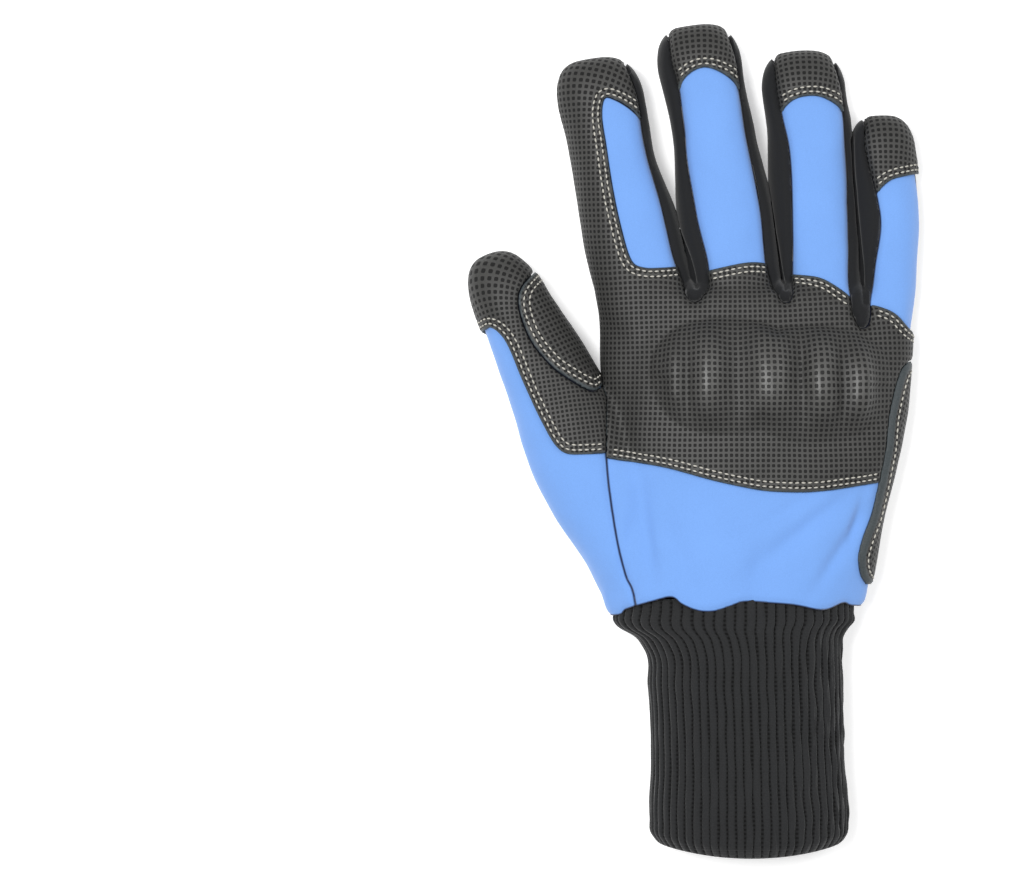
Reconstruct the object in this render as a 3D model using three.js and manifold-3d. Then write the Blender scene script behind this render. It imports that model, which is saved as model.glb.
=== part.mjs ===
import * as THREE from 'three';
import { LoftGeometry } from 'three/addons/geometries/LoftGeometry.js';
import { mergeVertices } from 'three/addons/utils/BufferGeometryUtils.js';
import Module from 'manifold-3d';

// A right-hand mechanic glove that lies palm down, in millimetres with +Z up.
// While it is built, the wrist seam is at y = 0, the fingers point along +Y and the thumb is at -X.

const wasm = await Module();
wasm.setup();

// Sizes of the hand
const PALM_LENGTH = 112;
const PALM_WIDTH = 110;
const PALM_DEPTH = 30;
const INDEX_LENGTH = 83;
const INDEX_WIDTH = 28.5;
const MIDDLE_LENGTH = 94;
const MIDDLE_WIDTH = 28;
const RING_LENGTH = 84;
const RING_WIDTH = 28.5;
const LITTLE_LENGTH = 61.5;
const LITTLE_WIDTH = 22.5;
const FINGER_DEPTH = 22;
const THUMB_LENGTH = 127;
const THUMB_WIDTH = 41;
const THUMB_DEPTH = 27;

// Sizes of the knitted cuff
const CUFF_LENGTH = 82;
const CUFF_WIDTH = 70;
const CUFF_DEPTH = 36;
const CUFF_WALL = 3;
const RIB_COUNT = 58;
const RIB_DEPTH = 0.9;

// Sizes of the layers
const FABRIC = 1.8;
const LEATHER = 1.2;
const PATCH_PROUD = 0.6;
const CLEARANCE = 0.3;
const SEAM_HEIGHT = 10;
const KNUCKLE_RISE = 7;
const KNUCKLE_PAD_LENGTH = 46;
const GATHER_COUNT = 6;
const GATHER_DEPTH = 1.1;
const FOLD_DEPTH = 1.8;

// The leather under the palm lies on the ground, so the fabric above it starts this high
const LEATHER_RISE = LEATHER + CLEARANCE;

// A table turns short rows into records with named columns
function table(columns, rows) {
  const names = columns.split(' ');
  return rows.map((row) => Object.fromEntries(row.map((value, i) => [names[i], value])));
}

// Frames: across and up are shares of a frame's reach to the side and ahead, from its origin
function makeFrame(x, y, lean, length, reach) {
  const angle = THREE.MathUtils.degToRad(lean);
  return {
    origin: new THREE.Vector2(x, y),
    ahead: new THREE.Vector2(-Math.sin(angle), Math.cos(angle)),
    aside: new THREE.Vector2(Math.cos(angle), Math.sin(angle)),
    length,
    reach,
  };
}

const HAND = makeFrame(0, 0, 0, PALM_LENGTH, PALM_WIDTH);
const INDEX = makeFrame(-0.285 * PALM_WIDTH, PALM_LENGTH, 10.6, INDEX_LENGTH, INDEX_WIDTH / 2);
const MIDDLE = makeFrame(0.016 * PALM_WIDTH, PALM_LENGTH, 8.9, MIDDLE_LENGTH, MIDDLE_WIDTH / 2);
const RING = makeFrame(0.286 * PALM_WIDTH, PALM_LENGTH, 4.8, RING_LENGTH, RING_WIDTH / 2);
const LITTLE = makeFrame(0.485 * PALM_WIDTH, PALM_LENGTH, 2.7, LITTLE_LENGTH, LITTLE_WIDTH / 2);
const THUMB = makeFrame(-0.297 * PALM_WIDTH, 0.082 * PALM_LENGTH, 22.8, THUMB_LENGTH, THUMB_WIDTH / 2);

function planPoint(frame, side, ahead) {
  return frame.origin.clone().addScaledVector(frame.aside, side).addScaledVector(frame.ahead, ahead);
}

function place(frame, rows) {
  return table('across up', rows).map(({ across, up }) => {
    return planPoint(frame, across * frame.reach, up * frame.length);
  });
}

// Sections of the hollow forms: left and right are shares of the frame's reach,
// deep is a share of the form's depth and rest a share of the rise above the leather.
const PALM_ROWS = table('up left right deep rest', [
  [-0.08, -0.380, 0.380, 1.12, 1],
  [0.00, -0.390, 0.389, 1.12, 1],
  [0.06, -0.412, 0.405, 1.12, 1],
  [0.13, -0.392, 0.430, 1.12, 1],
  [0.23, -0.375, 0.459, 1.12, 1],
  [0.38, -0.390, 0.486, 1.09, 1],
  [0.56, -0.412, 0.523, 1.04, 1],
  [0.76, -0.428, 0.549, 0.96, 1],
  [0.98, -0.432, 0.556, 0.85, 1],
]);

const INDEX_ROWS = table('up left right deep rest', [
  [-0.22, -1.10, 1.00, 1.04, 1],
  [0.00, -1.20, 1.15, 1.06, 1],
  [0.32, -1.18, 1.04, 1.02, 1],
  [0.60, -1.10, 0.84, 0.95, 0.4],
  [0.82, -1.11, 0.90, 0.88, 0.1],
]);

const MIDDLE_ROWS = table('up left right deep rest', [
  [-0.20, -1.00, 0.95, 1.06, 1],
  [0.00, -1.11, 1.03, 1.08, 1],
  [0.32, -1.12, 1.09, 1.04, 1],
  [0.60, -0.97, 0.92, 0.97, 0.4],
  [0.84, -1.02, 0.85, 0.90, 0.1],
]);

const RING_ROWS = table('up left right deep rest', [
  [-0.22, -0.95, 0.80, 1.04, 1],
  [0.00, -1.00, 0.84, 1.06, 1],
  [0.32, -1.10, 0.88, 1.02, 1],
  [0.66, -1.05, 0.93, 0.95, 0.3],
  [0.84, -1.02, 0.88, 0.88, 0.1],
]);

const LITTLE_ROWS = table('up left right deep rest', [
  [-0.30, -0.80, 0.55, 0.90, 1],
  [0.00, -0.80, 0.84, 0.92, 1],
  [0.36, -0.88, 1.01, 0.89, 1],
  [0.64, -0.88, 1.04, 0.84, 0.3],
  [0.80, -0.88, 0.94, 0.80, 0.1],
]);

const THUMB_ROWS = table('up left right deep rest', [
  [0.03, -0.63, 0.90, 0.96, 1.5],
  [0.16, -0.73, 1.10, 1.00, 1.5],
  [0.32, -0.91, 1.15, 1.00, 1.5],
  [0.50, -0.89, 1.00, 0.93, 1.5],
  [0.68, -0.79, 0.70, 0.83, 1.5],
  [0.88, -0.67, 0.40, 0.68, 1.5],
]);

// The cuff below its first two sections, which are the palm's own: down is a share of
// CUFF_LENGTH, left and right of CUFF_WIDTH, and bow is how far the middle runs ahead of the sides
const CUFF_ROWS = table('down left right deep bow', [
  [0.045, -0.585, 0.560, 0.97, 0.1],
  [0.130, -0.450, 0.530, 1.00, 0.1],
  [0.890, -0.422, 0.566, 0.99, 0.95],
  [0.940, -0.405, 0.550, 0.95, 1],
]);
const CUFF_BOW = 4.5;

// Soft folds of the back of the hand: wide and long are shares of PALM_LENGTH, deep of FOLD_DEPTH
const FOLDS = table('across up wide long turn deep', [
  [0.24, 0.27, 0.05, 0.20, 52, 0.90],
  [0.36, 0.20, 0.04, 0.14, 30, 0.75],
  [-0.16, 0.17, 0.05, 0.16, -20, 0.65],
  [-0.36, 0.58, 0.06, 0.20, 8, 1.00],
]);

function foldDepth(x, y) {
  return FOLDS.reduce((sum, { across, up, wide, long, turn, deep }) => {
    const angle = THREE.MathUtils.degToRad(turn);
    const offset = new THREE.Vector2(x - across * PALM_WIDTH, y - up * PALM_LENGTH);
    offset.rotateAround(new THREE.Vector2(), angle);
    const u = offset.x / (wide * PALM_LENGTH);
    const v = offset.y / (long * PALM_LENGTH);
    return sum + deep * FOLD_DEPTH * Math.exp(-u * u - v * v);
  }, 0);
}

// A section is round above and flattened below, where the glove lies on the ground
const WIDEST = 0.42;
const ROUND_ABOVE = 2.3;
const SQUARE_BELOW = 2.9;
const SINK = 1.12;

function superPower(value, square) {
  return Math.sign(value) * Math.abs(value) ** (2 / square);
}

function sectionPoint(angle, centre, halfWidth, bottom, top) {
  const widest = bottom + WIDEST * (top - bottom);
  const isAbove = Math.sin(angle) >= 0;
  const square = isAbove ? ROUND_ABOVE : SQUARE_BELOW;
  const height = isAbove ? top - widest : SINK * (widest - bottom);
  const side = centre - halfWidth * superPower(Math.cos(angle), square);
  const z = widest + height * superPower(Math.sin(angle), square);
  return { side, z: Math.max(z, bottom) };
}

// More of a ring's points lie on its round upper half than on the flat lower one
const UPPER_SHARE = 0.6;

function ringAngle(turn) {
  const isAbove = turn < UPPER_SHARE;
  return Math.PI * (isAbove ? turn / UPPER_SHARE : 1 + (turn - UPPER_SHARE) / (1 - UPPER_SHARE));
}

// One ring of points in the upright plane that stands across the frame's axis
function ring(frame, ahead, section, count, bend) {
  const { left, right, bottom, top } = section;
  const centre = (left + right) / 2;
  const halfWidth = (right - left) / 2;
  return Array.from({ length: count }, (_, i) => {
    const angle = ringAngle(i / count);
    const { side, z } = sectionPoint(angle, centre, halfWidth, bottom, top);
    const plan = planPoint(frame, side, ahead);
    const point = new THREE.Vector3(plan.x, plan.y, z);
    return bend ? bend(point, angle) : point;
  });
}

function grownSection(row, frame, depth, grow) {
  const bottom = row.rest * LEATHER_RISE;
  return {
    left: row.left * frame.reach - grow,
    right: row.right * frame.reach + grow,
    bottom: bottom - grow,
    top: bottom + row.deep * depth + grow,
  };
}

// The rounded end ahead of the last section
const END_STEPS = [32, 58, 79];
const END_BLUNTNESS = 0.62;

function endSections(last, reach) {
  const middle = (last.left + last.right) / 2;
  const height = THREE.MathUtils.lerp(last.bottom, last.top, WIDEST);
  return END_STEPS.map((degrees) => {
    const angle = THREE.MathUtils.degToRad(degrees);
    const share = Math.cos(angle) ** END_BLUNTNESS;
    return {
      ahead: reach * Math.sin(angle),
      left: THREE.MathUtils.lerp(middle, last.left, share),
      right: THREE.MathUtils.lerp(middle, last.right, share),
      bottom: THREE.MathUtils.lerp(height, last.bottom, share),
      top: THREE.MathUtils.lerp(height, last.top, share),
    };
  });
}

function solidOf(geometry) {
  const bare = new THREE.BufferGeometry();
  bare.setAttribute('position', geometry.getAttribute('position'));
  bare.setIndex(geometry.getIndex());
  const merged = mergeVertices(bare);
  return new wasm.Manifold(new wasm.Mesh({
    numProp: 3,
    vertProperties: new Float32Array(merged.attributes.position.array),
    triVerts: new Uint32Array(merged.index.array),
  }));
}

// The inside of a wall needs fewer points than its outside
const INSIDE_SHARE = 0.72;

// A closed tube through the rows of a table, grown outwards all round by grow
function tubeForm({ frame, rows, depth, reach, count, bend }, grow) {
  const sections = rows.map((row) => {
    return { ahead: row.up * frame.length, ...grownSection(row, frame, depth, grow) };
  });
  const last = sections[sections.length - 1];
  endSections(last, reach - last.ahead + grow).forEach((end) => {
    sections.push({ ...end, ahead: last.ahead + end.ahead });
  });
  const points = grow < 0 ? Math.round(count * INSIDE_SHARE) : count;
  const rings = sections.map((section) => ring(frame, section.ahead, section, points, bend));
  return solidOf(new LoftGeometry(rings, { capStart: true, capEnd: true }));
}

// The palm is gathered towards the wrist seam and has soft folds on its back
const GATHER_REACH = 0.26 * PALM_LENGTH;
const GATHER_MIDDLE = 0.5 * PALM_DEPTH;

function bendPalm(point, angle) {
  const fade = THREE.MathUtils.clamp(1 - point.y / GATHER_REACH, 0, 1) ** 2;
  const gather = GATHER_DEPTH * fade * Math.cos(GATHER_COUNT * angle);
  const outwards = new THREE.Vector2(point.x / 2, point.z - GATHER_MIDDLE).normalize();
  const isAbove = Math.sin(angle) > 0.1;
  point.x += gather * outwards.x;
  if (isAbove) {
    point.z += gather * outwards.y - foldDepth(point.x, point.y) * Math.sin(angle);
  }
  return point;
}

const PALM_END = 1.03 * PALM_LENGTH;

const FORMS = [
  { frame: HAND, rows: PALM_ROWS, depth: PALM_DEPTH, reach: PALM_END, count: 23, bend: bendPalm },
  { frame: INDEX, rows: INDEX_ROWS, depth: FINGER_DEPTH, reach: INDEX_LENGTH, count: 10 },
  { frame: MIDDLE, rows: MIDDLE_ROWS, depth: FINGER_DEPTH, reach: MIDDLE_LENGTH, count: 10 },
  { frame: RING, rows: RING_ROWS, depth: FINGER_DEPTH, reach: RING_LENGTH, count: 10 },
  { frame: LITTLE, rows: LITTLE_ROWS, depth: FINGER_DEPTH, reach: LITTLE_LENGTH, count: 10 },
  { frame: THUMB, rows: THUMB_ROWS, depth: THUMB_DEPTH, reach: THUMB_LENGTH, count: 14 },
];

// The whole glove above the wrist, grown outwards by grow
function gloveForm(grow) {
  return FORMS.map((form) => tubeForm(form, grow)).reduce((all, form) => all.add(form));
}

// Plan outlines: each run is a smooth curve through its points, with a corner between two runs
const CURVE_STEPS = 2;

function outline(...runs) {
  const shape = new THREE.Shape();
  runs.forEach((points, i) => {
    const [first, ...rest] = points;
    if (i === 0) {
      shape.moveTo(first.x, first.y);
    } else {
      shape.lineTo(first.x, first.y);
    }
    if (rest.length > 1) {
      shape.splineThru(rest);
    } else if (rest.length === 1) {
      shape.lineTo(rest[0].x, rest[0].y);
    }
  });
  return cleanPoints(shape.getPoints(CURVE_STEPS));
}

const SHORTEST_STEP = 0.05;

function cleanPoints(points) {
  const kept = points.filter((point, i) => {
    return i === 0 || point.distanceTo(points[i - 1]) > SHORTEST_STEP;
  });
  if (kept[0].distanceTo(kept[kept.length - 1]) < SHORTEST_STEP) {
    kept.pop();
  }
  return THREE.ShapeUtils.isClockWise(kept) ? kept.reverse() : kept;
}

// Moves a counterclockwise outline outwards by grow
function grownOutline(points, grow) {
  return points.map((point, i) => {
    const before = points[(i + points.length - 1) % points.length];
    const after = points[(i + 1) % points.length];
    const inStep = point.clone().sub(before).normalize();
    const outStep = after.clone().sub(point).normalize();
    const normal = new THREE.Vector2(inStep.y + outStep.y, -inStep.x - outStep.x).normalize();
    const stretch = Math.max(0.5, normal.x * inStep.y - normal.y * inStep.x);
    return point.clone().addScaledVector(normal, grow / stretch);
  });
}

const LOWEST = -PALM_DEPTH;
const HIGHEST = 2 * PALM_DEPTH + KNUCKLE_RISE;
const BACK = { from: SEAM_HEIGHT + CLEARANCE / 2, to: HIGHEST };
const FRONT = { from: LOWEST, to: SEAM_HEIGHT - CLEARANCE / 2 };
const THROUGH = { from: LOWEST, to: HIGHEST };

function prism(points, { from, to }, grow = 0) {
  const shape = new THREE.Shape(grownOutline(points, grow));
  const geometry = new THREE.ExtrudeGeometry(shape, { depth: to - from, bevelEnabled: false });
  geometry.translate(0, 0, from);
  return solidOf(geometry);
}

function joined(solids) {
  return solids.reduce((all, solid) => all.add(solid));
}

// The wavy seam between the glove and its cuff
const WRIST_WAVE = place(HAND, [
  [-0.39, 0.000], [-0.29, 0.041], [-0.205, 0.062], [-0.17, 0.040], [-0.10, 0.020],
  [0.03, 0.047], [0.20, 0.034], [0.28, 0.020], [0.345, 0.040], [0.39, 0.030],
]);

function aboveWrist(shift) {
  const wave = WRIST_WAVE.map((point) => new THREE.Vector2(point.x, point.y + shift));
  const first = wave[0];
  const last = wave[wave.length - 1];
  const far = 3 * PALM_WIDTH;
  const top = 3 * PALM_LENGTH;
  const rim = [
    new THREE.Vector2(far, last.y),
    new THREE.Vector2(far, top),
    new THREE.Vector2(-far, top),
    new THREE.Vector2(-far, first.y),
  ];
  return prism(outline(wave, rim.slice(0, 2), rim.slice(2)), THROUGH);
}

// Seams along the fingers, from the palm to the fingertip
const INDEX_SEAM = place(INDEX, [
  [0.99, -0.02], [0.88, 0.16], [0.77, 0.48], [0.72, 0.80], [0.45, 1.08],
]);
const MIDDLE_SEAM_LEFT = place(MIDDLE, [
  [-0.74, 0.04], [-0.76, 0.22], [-0.83, 0.47], [-0.76, 0.82], [-0.70, 1.08],
]);
const MIDDLE_SEAM_RIGHT = place(MIDDLE, [
  [0.82, 0.00], [0.84, 0.30], [0.82, 0.66], [0.81, 0.88], [0.62, 1.08],
]);
const RING_SEAM_LEFT = place(RING, [
  [-0.81, 0.02], [-0.78, 0.14], [-0.62, 0.55], [-0.75, 0.88], [-0.70, 1.08],
]);
const RING_SEAM_RIGHT = place(RING, [
  [0.60, -0.06], [0.76, 0.30], [0.85, 0.64], [0.84, 0.82], [0.55, 1.10],
]);
const LITTLE_SEAM_LEFT = place(LITTLE, [
  [-0.58, -0.04], [-0.24, 0.30], [-0.22, 0.52], [-0.50, 0.86], [-0.46, 1.12],
]);

// Each side strip runs up one finger, down the next one and round its own tip on the knuckles
function stripOutline(seamUp, seamDown, tip) {
  return outline([...seamUp], [...seamDown].reverse(), tip);
}

const STRIP_INDEX_MIDDLE = stripOutline(INDEX_SEAM, MIDDLE_SEAM_LEFT, place(HAND, [
  [-0.098, 0.992], [-0.128, 0.978], [-0.150, 0.994],
]));
const STRIP_MIDDLE_RING = stripOutline(MIDDLE_SEAM_RIGHT, RING_SEAM_LEFT, place(HAND, [
  [0.178, 0.994], [0.157, 0.978], [0.138, 0.994],
]));
const STRIP_RING_LITTLE = stripOutline(RING_SEAM_RIGHT, LITTLE_SEAM_LEFT, place(HAND, [
  [0.425, 0.925], [0.405, 0.898], [0.382, 0.925],
]));

// The fabric round the thumb, seen from the back and from the palm side
const THUMB_AIR = place(HAND, [[-0.43, 0.74], [-0.50, 0.94], [-0.68, 1.34]]);
const THUMB_FAR = place(HAND, [[-1.2, 1.34], [-1.2, -0.3]]);

const THUMB_BACK_OUTLINE = outline(
  place(HAND, [
    [-0.30, -0.30], [-0.32, 0.04], [-0.35, 0.13], [-0.38, 0.27], [-0.40, 0.42], [-0.41, 0.60],
    [-0.43, 0.74],
  ]),
  THUMB_AIR.slice(1),
  THUMB_FAR,
);

const THUMB_WRAP_OUTLINE = outline(
  place(THUMB, [
    [0.80, -0.20], [0.60, -0.06], [0.46, 0.01], [0.34, 0.10], [0.13, 0.21], [-0.09, 0.36],
    [-0.14, 0.50], [-0.18, 0.60], [-0.16, 0.68],
  ]),
  place(THUMB, [[-0.06, 0.78], [-0.04, 0.86], [-0.12, 0.95], [-0.22, 1.20]]),
  THUMB_FAR,
);

const THUMB_PALM_OUTLINE = outline(
  place(HAND, [[-0.29, 0.15], [-0.31, 0.26], [-0.355, 0.40], [-0.395, 0.60], [-0.43, 0.74]]),
  THUMB_AIR.slice(1),
  THUMB_FAR,
);

// Leather on the back
const GUARD_OUTLINE = outline(
  place(HAND, [[-0.60, 0.78], [-0.43, 0.735]]),
  place(HAND, [[-0.406, 0.68], [-0.406, 0.49]]),
  place(HAND, [
    [-0.34, 0.48], [-0.22, 0.46], [-0.07, 0.42], [0.07, 0.39], [0.20, 0.386], [0.35, 0.40],
    [0.45, 0.415],
  ]),
  place(HAND, [[0.60, 0.43], [0.62, 0.87]]),
  place(HAND, [[0.555, 0.885], [0.50, 0.95], [0.43, 0.965]]),
  place(HAND, [[0.36, 0.99], [0.26, 1.05], [0.18, 1.06]]),
  place(HAND, [[0.10, 1.09], [0.035, 1.095], [-0.08, 1.07]]),
  place(INDEX, [[1.30, 0.10], [1.30, 1.30]]),
  place(INDEX, [[-1.80, 1.30], [-1.80, 0.00]]),
);

const INSERT_OUTLINE = outline(
  place(INDEX, [
    [1.40, 0.10], [0.91, 0.09], [0.08, 0.11], [-0.14, 0.15], [-0.24, 0.27], [-0.275, 0.46],
    [-0.24, 0.64], [-0.21, 0.76],
  ]),
  place(INDEX, [[-0.08, 0.83], [0.12, 0.82], [0.40, 0.78], [0.76, 0.71]]),
  place(INDEX, [[1.40, 0.71], [1.40, 0.30]]),
);

const CAP_MARGIN = 0.12;

function capOutline(frame, arch) {
  const [startAcross, startUp] = arch[0];
  const [endAcross, endUp] = arch[arch.length - 1];
  const left = startAcross - CAP_MARGIN;
  const right = endAcross + CAP_MARGIN;
  return outline(
    place(frame, arch),
    place(frame, [[right, endUp], [right, 1.2]]),
    place(frame, [[left, 1.2], [left, startUp]]),
  );
}

const MIDDLE_CAP_OUTLINE = capOutline(MIDDLE, [
  [-0.83, 0.76], [-0.40, 0.83], [0.02, 0.845], [0.47, 0.805], [0.90, 0.73],
]);
const RING_CAP_OUTLINE = capOutline(RING, [
  [-0.83, 0.74], [-0.35, 0.81], [0.14, 0.815], [0.53, 0.79], [0.95, 0.73],
]);
const LITTLE_CAP_OUTLINE = capOutline(LITTLE, [[-0.42, 0.52], [0.02, 0.61], [0.40, 0.65], [1.10, 0.67]]);

// Leather round the thumb
const THUMB_CAP_OUTLINE = outline(
  place(THUMB, [
    [-1.60, 0.83], [-0.76, 0.82], [-0.60, 0.82], [-0.485, 0.785], [-0.45, 0.72], [-0.46, 0.62],
    [-0.42, 0.50], [-0.37, 0.45], [-0.25, 0.42], [0.02, 0.40], [0.33, 0.38],
  ]),
  place(THUMB, [[0.72, 0.522], [0.725, 0.575]]),
  place(THUMB, [[0.812, 0.766], [1.40, 1.30], [-1.60, 1.30]]),
);

const THUMB_CAP_WRAP_OUTLINE = outline(
  place(THUMB, [[-1.60, 0.80], [-0.80, 0.757], [-0.20, 0.675]]),
  place(THUMB, [[-0.07, 0.78], [-0.05, 0.86], [-0.13, 0.95], [-0.26, 1.20]]),
  place(THUMB, [[-1.60, 1.20], [-1.60, 1.00]]),
);

// The patch in the crotch wraps from the thumb's back to its palm side as two lobes
const PATCH_AIR = place(THUMB, [[0.765, 0.587], [0.812, 0.766], [0.769, 0.883]]);

const THUMB_PATCH_OUTLINE = outline(
  place(THUMB, [
    [0.35, 0.91], [0.13, 0.89], [-0.03, 0.85], [-0.09, 0.78], [0.02, 0.68], [0.20, 0.62],
    [0.36, 0.58], [0.54, 0.55], [0.70, 0.56],
  ]),
  PATCH_AIR,
);

const PATCH_TIP_LOBE = outline(
  place(THUMB, [[0.31, 0.90], [0.20, 0.84], [0.16, 0.79], [0.25, 0.745], [0.47, 0.735], [0.66, 0.755]]),
  PATCH_AIR.slice(1),
);

const PATCH_PALM_LOBE = outline(
  place(HAND, [
    [-0.46, 0.84], [-0.461, 0.745], [-0.483, 0.705], [-0.505, 0.668], [-0.502, 0.621],
    [-0.470, 0.588],
  ]),
  place(HAND, [
    [-0.423, 0.588], [-0.386, 0.628], [-0.375, 0.662], [-0.405, 0.69], [-0.436, 0.75],
    [-0.44, 0.84],
  ]),
);

// Leather on the outer edge of the hand, seen from the back and from the palm side
const EDGE_BACK_OUTLINE = outline(
  place(HAND, [[0.70, 0.79], [0.547, 0.79]]),
  place(HAND, [
    [0.515, 0.75], [0.486, 0.64], [0.47, 0.51], [0.45, 0.40], [0.425, 0.30], [0.395, 0.22],
    [0.385, 0.17], [0.405, 0.11],
  ]),
  place(HAND, [[0.70, 0.11], [0.70, 0.30]]),
);

const EDGE_PALM_OUTLINE = outline(
  place(HAND, [[0.70, 0.77], [0.52, 0.77]]),
  place(HAND, [[0.49, 0.70], [0.475, 0.60], [0.45, 0.47], [0.42, 0.31], [0.405, 0.22]]),
  place(HAND, [[0.42, 0.185], [0.70, 0.185]]),
);

// Leather under the palm: four tabs below the fingers, a diagonal band and the heel pad
const PALM_PATCH_OUTLINE = outline(
  place(HAND, [[-0.455, 1.11], [-0.435, 1.172], [-0.330, 1.182], [-0.294, 1.07]]),
  place(HAND, [[-0.276, 1.01], [-0.220, 0.975], [-0.155, 1.01]]),
  place(HAND, [[-0.114, 1.17], [-0.070, 1.213], [-0.010, 1.21], [0.020, 1.15]]),
  place(HAND, [[0.004, 1.03], [0.055, 0.977], [0.120, 1.03]]),
  place(HAND, [[0.131, 1.13], [0.165, 1.182], [0.240, 1.180], [0.262, 1.10]]),
  place(HAND, [[0.272, 0.98], [0.327, 0.93], [0.385, 0.99]]),
  place(HAND, [[0.397, 1.06], [0.420, 1.095], [0.458, 1.107]]),
  place(HAND, [[0.464, 0.91], [0.490, 0.775], [0.462, 0.715], [0.395, 0.717]]),
  place(HAND, [[0.22, 0.779], [0.01, 0.812], [-0.109, 0.824]]),
  place(HAND, [[-0.119, 0.808], [-0.06, 0.740], [0.115, 0.620], [0.300, 0.475], [0.386, 0.395]]),
  place(HAND, [[0.427, 0.334], [0.437, 0.25], [0.415, 0.12], [0.340, 0.083], [0.115, 0.083]]),
  place(HAND, [[0.020, 0.125], [-0.030, 0.220], [-0.022, 0.305], [0.053, 0.385]]),
  place(HAND, [[0.078, 0.410], [0.040, 0.450], [-0.135, 0.574], [-0.343, 0.686]]),
  place(HAND, [[-0.405, 0.717], [-0.436, 0.755], [-0.450, 1.03]]),
);

// The moulded pad under the knuckles: a low dome with one ridge for each finger
const KNUCKLE_PAD = table('across up wide long rise', [
  [0.12, 0.725, 0.72, 1.00, 0.60],
  [-0.13, 0.745, 0.19, 0.66, 0.95],
  [0.095, 0.755, 0.18, 0.70, 1.00],
  [0.27, 0.740, 0.15, 0.66, 1.00],
  [0.39, 0.715, 0.13, 0.56, 0.88],
]);
const PAD_SINK = 0.35;

function backHeight(x, y) {
  const up = y / PALM_LENGTH;
  const after = PALM_ROWS.findIndex((row) => row.up > up);
  const a = PALM_ROWS[after - 1];
  const b = PALM_ROWS[after];
  const share = (up - a.up) / (b.up - a.up);
  const left = THREE.MathUtils.lerp(a.left, b.left, share) * PALM_WIDTH;
  const right = THREE.MathUtils.lerp(a.right, b.right, share) * PALM_WIDTH;
  const depth = THREE.MathUtils.lerp(a.deep, b.deep, share) * PALM_DEPTH;
  const side = Math.abs(x - (left + right) / 2) / ((right - left) / 2);
  const roundness = (1 - side ** ROUND_ABOVE) ** (1 / ROUND_ABOVE);
  return LEATHER_RISE + depth * (WIDEST + (1 - WIDEST) * roundness);
}

function knucklePad() {
  return joined(KNUCKLE_PAD.map(({ across, up, wide, long, rise }) => {
    const x = across * PALM_WIDTH;
    const y = up * PALM_LENGTH;
    const slope = (backHeight(x + 1, y) - backHeight(x - 1, y)) / 2;
    const tilt = (backHeight(x, y + 1) - backHeight(x, y - 1)) / 2;
    const height = rise * (KNUCKLE_RISE + LEATHER_RISE) / (1 - PAD_SINK);
    const pad = new THREE.SphereGeometry(1, 12, 8);
    pad.rotateX(Math.PI / 2);
    pad.scale(wide * PALM_WIDTH / 2, long * KNUCKLE_PAD_LENGTH / 2, height);
    pad.rotateY(-Math.atan(slope));
    pad.rotateX(Math.atan(tilt));
    pad.translate(x, y, backHeight(x, y) - PAD_SINK * height);
    return solidOf(pad);
  }));
}

// The cuff: the palm's own section above the wrist seam, then its own, with ribs all round
function cuffRings(grow, ribDepth, count) {
  const wrist = PALM_ROWS.filter((row) => row.up > 0 && row.up < 0.1).map((row) => {
    return { y: row.up * PALM_LENGTH, bow: 0, ...grownSection(row, HAND, PALM_DEPTH, grow) };
  });
  const below = CUFF_ROWS.map(({ down, left, right, deep, bow }) => {
    return {
      y: -down * CUFF_LENGTH,
      bow: bow * CUFF_BOW,
      left: left * CUFF_WIDTH - grow,
      right: right * CUFF_WIDTH + grow,
      bottom: -grow,
      top: deep * CUFF_DEPTH + grow,
    };
  });
  return [...wrist, ...below].map((section) => cuffRing(section, ribDepth, count));
}

function cuffRing(section, ribDepth, count) {
  const centre = (section.left + section.right) / 2;
  const halfWidth = (section.right - section.left) / 2;
  const rough = ring(HAND, section.y, section, 48);
  const curve = new THREE.CatmullRomCurve3(rough, true, 'centripetal');
  const even = curve.getSpacedPoints(count).slice(0, count);
  return even.map((point, i) => {
    const after = even[(i + 1) % count];
    const before = even[(i + count - 1) % count];
    const inwards = new THREE.Vector3(after.z - before.z, 0, before.x - after.x).normalize();
    const share = (point.x - centre) / halfWidth;
    const rib = point.clone().addScaledVector(inwards, i % 2 === 0 ? 0 : ribDepth);
    rib.y -= section.bow * (1 - share * share);
    return rib;
  });
}

function makeCuff() {
  const outside = cuffRings(0, RIB_DEPTH, 2 * RIB_COUNT);
  const inside = cuffRings(-CUFF_WALL, 0, RIB_COUNT / 2);
  const first = inside[0].map((point) => point.clone().setY(point.y + 1));
  const end = inside[inside.length - 1].map((point) => point.clone().setY(point.y - CUFF_LENGTH));
  const tube = new LoftGeometry(outside.reverse(), { capStart: true, capEnd: true });
  const hollow = new LoftGeometry([first, ...inside, end].reverse(), { capStart: true, capEnd: true });
  return solidOf(tube).subtract(solidOf(hollow)).subtract(aboveWrist(-CLEARANCE / 2));
}

// Materials
const BLUE = { color: 0x5f93ea, roughness: 0.85, metalness: 0 };
const BLACK = { color: 0x1c1d20, roughness: 0.8, metalness: 0 };
const HIDE = { color: 0x3f3f3e, roughness: 0.6, metalness: 0 };
const KNIT = { color: 0x17171a, roughness: 0.95, metalness: 0 };

const glove = new THREE.Group();

// Crumbs that a cut leaves behind are thrown away, as an offcut of cloth is
const SMALLEST_OFFCUT = 30;

function withoutOffcuts(solid) {
  const bodies = solid.decompose().filter((body) => body.volume() > SMALLEST_OFFCUT);
  return joined(bodies);
}

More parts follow.
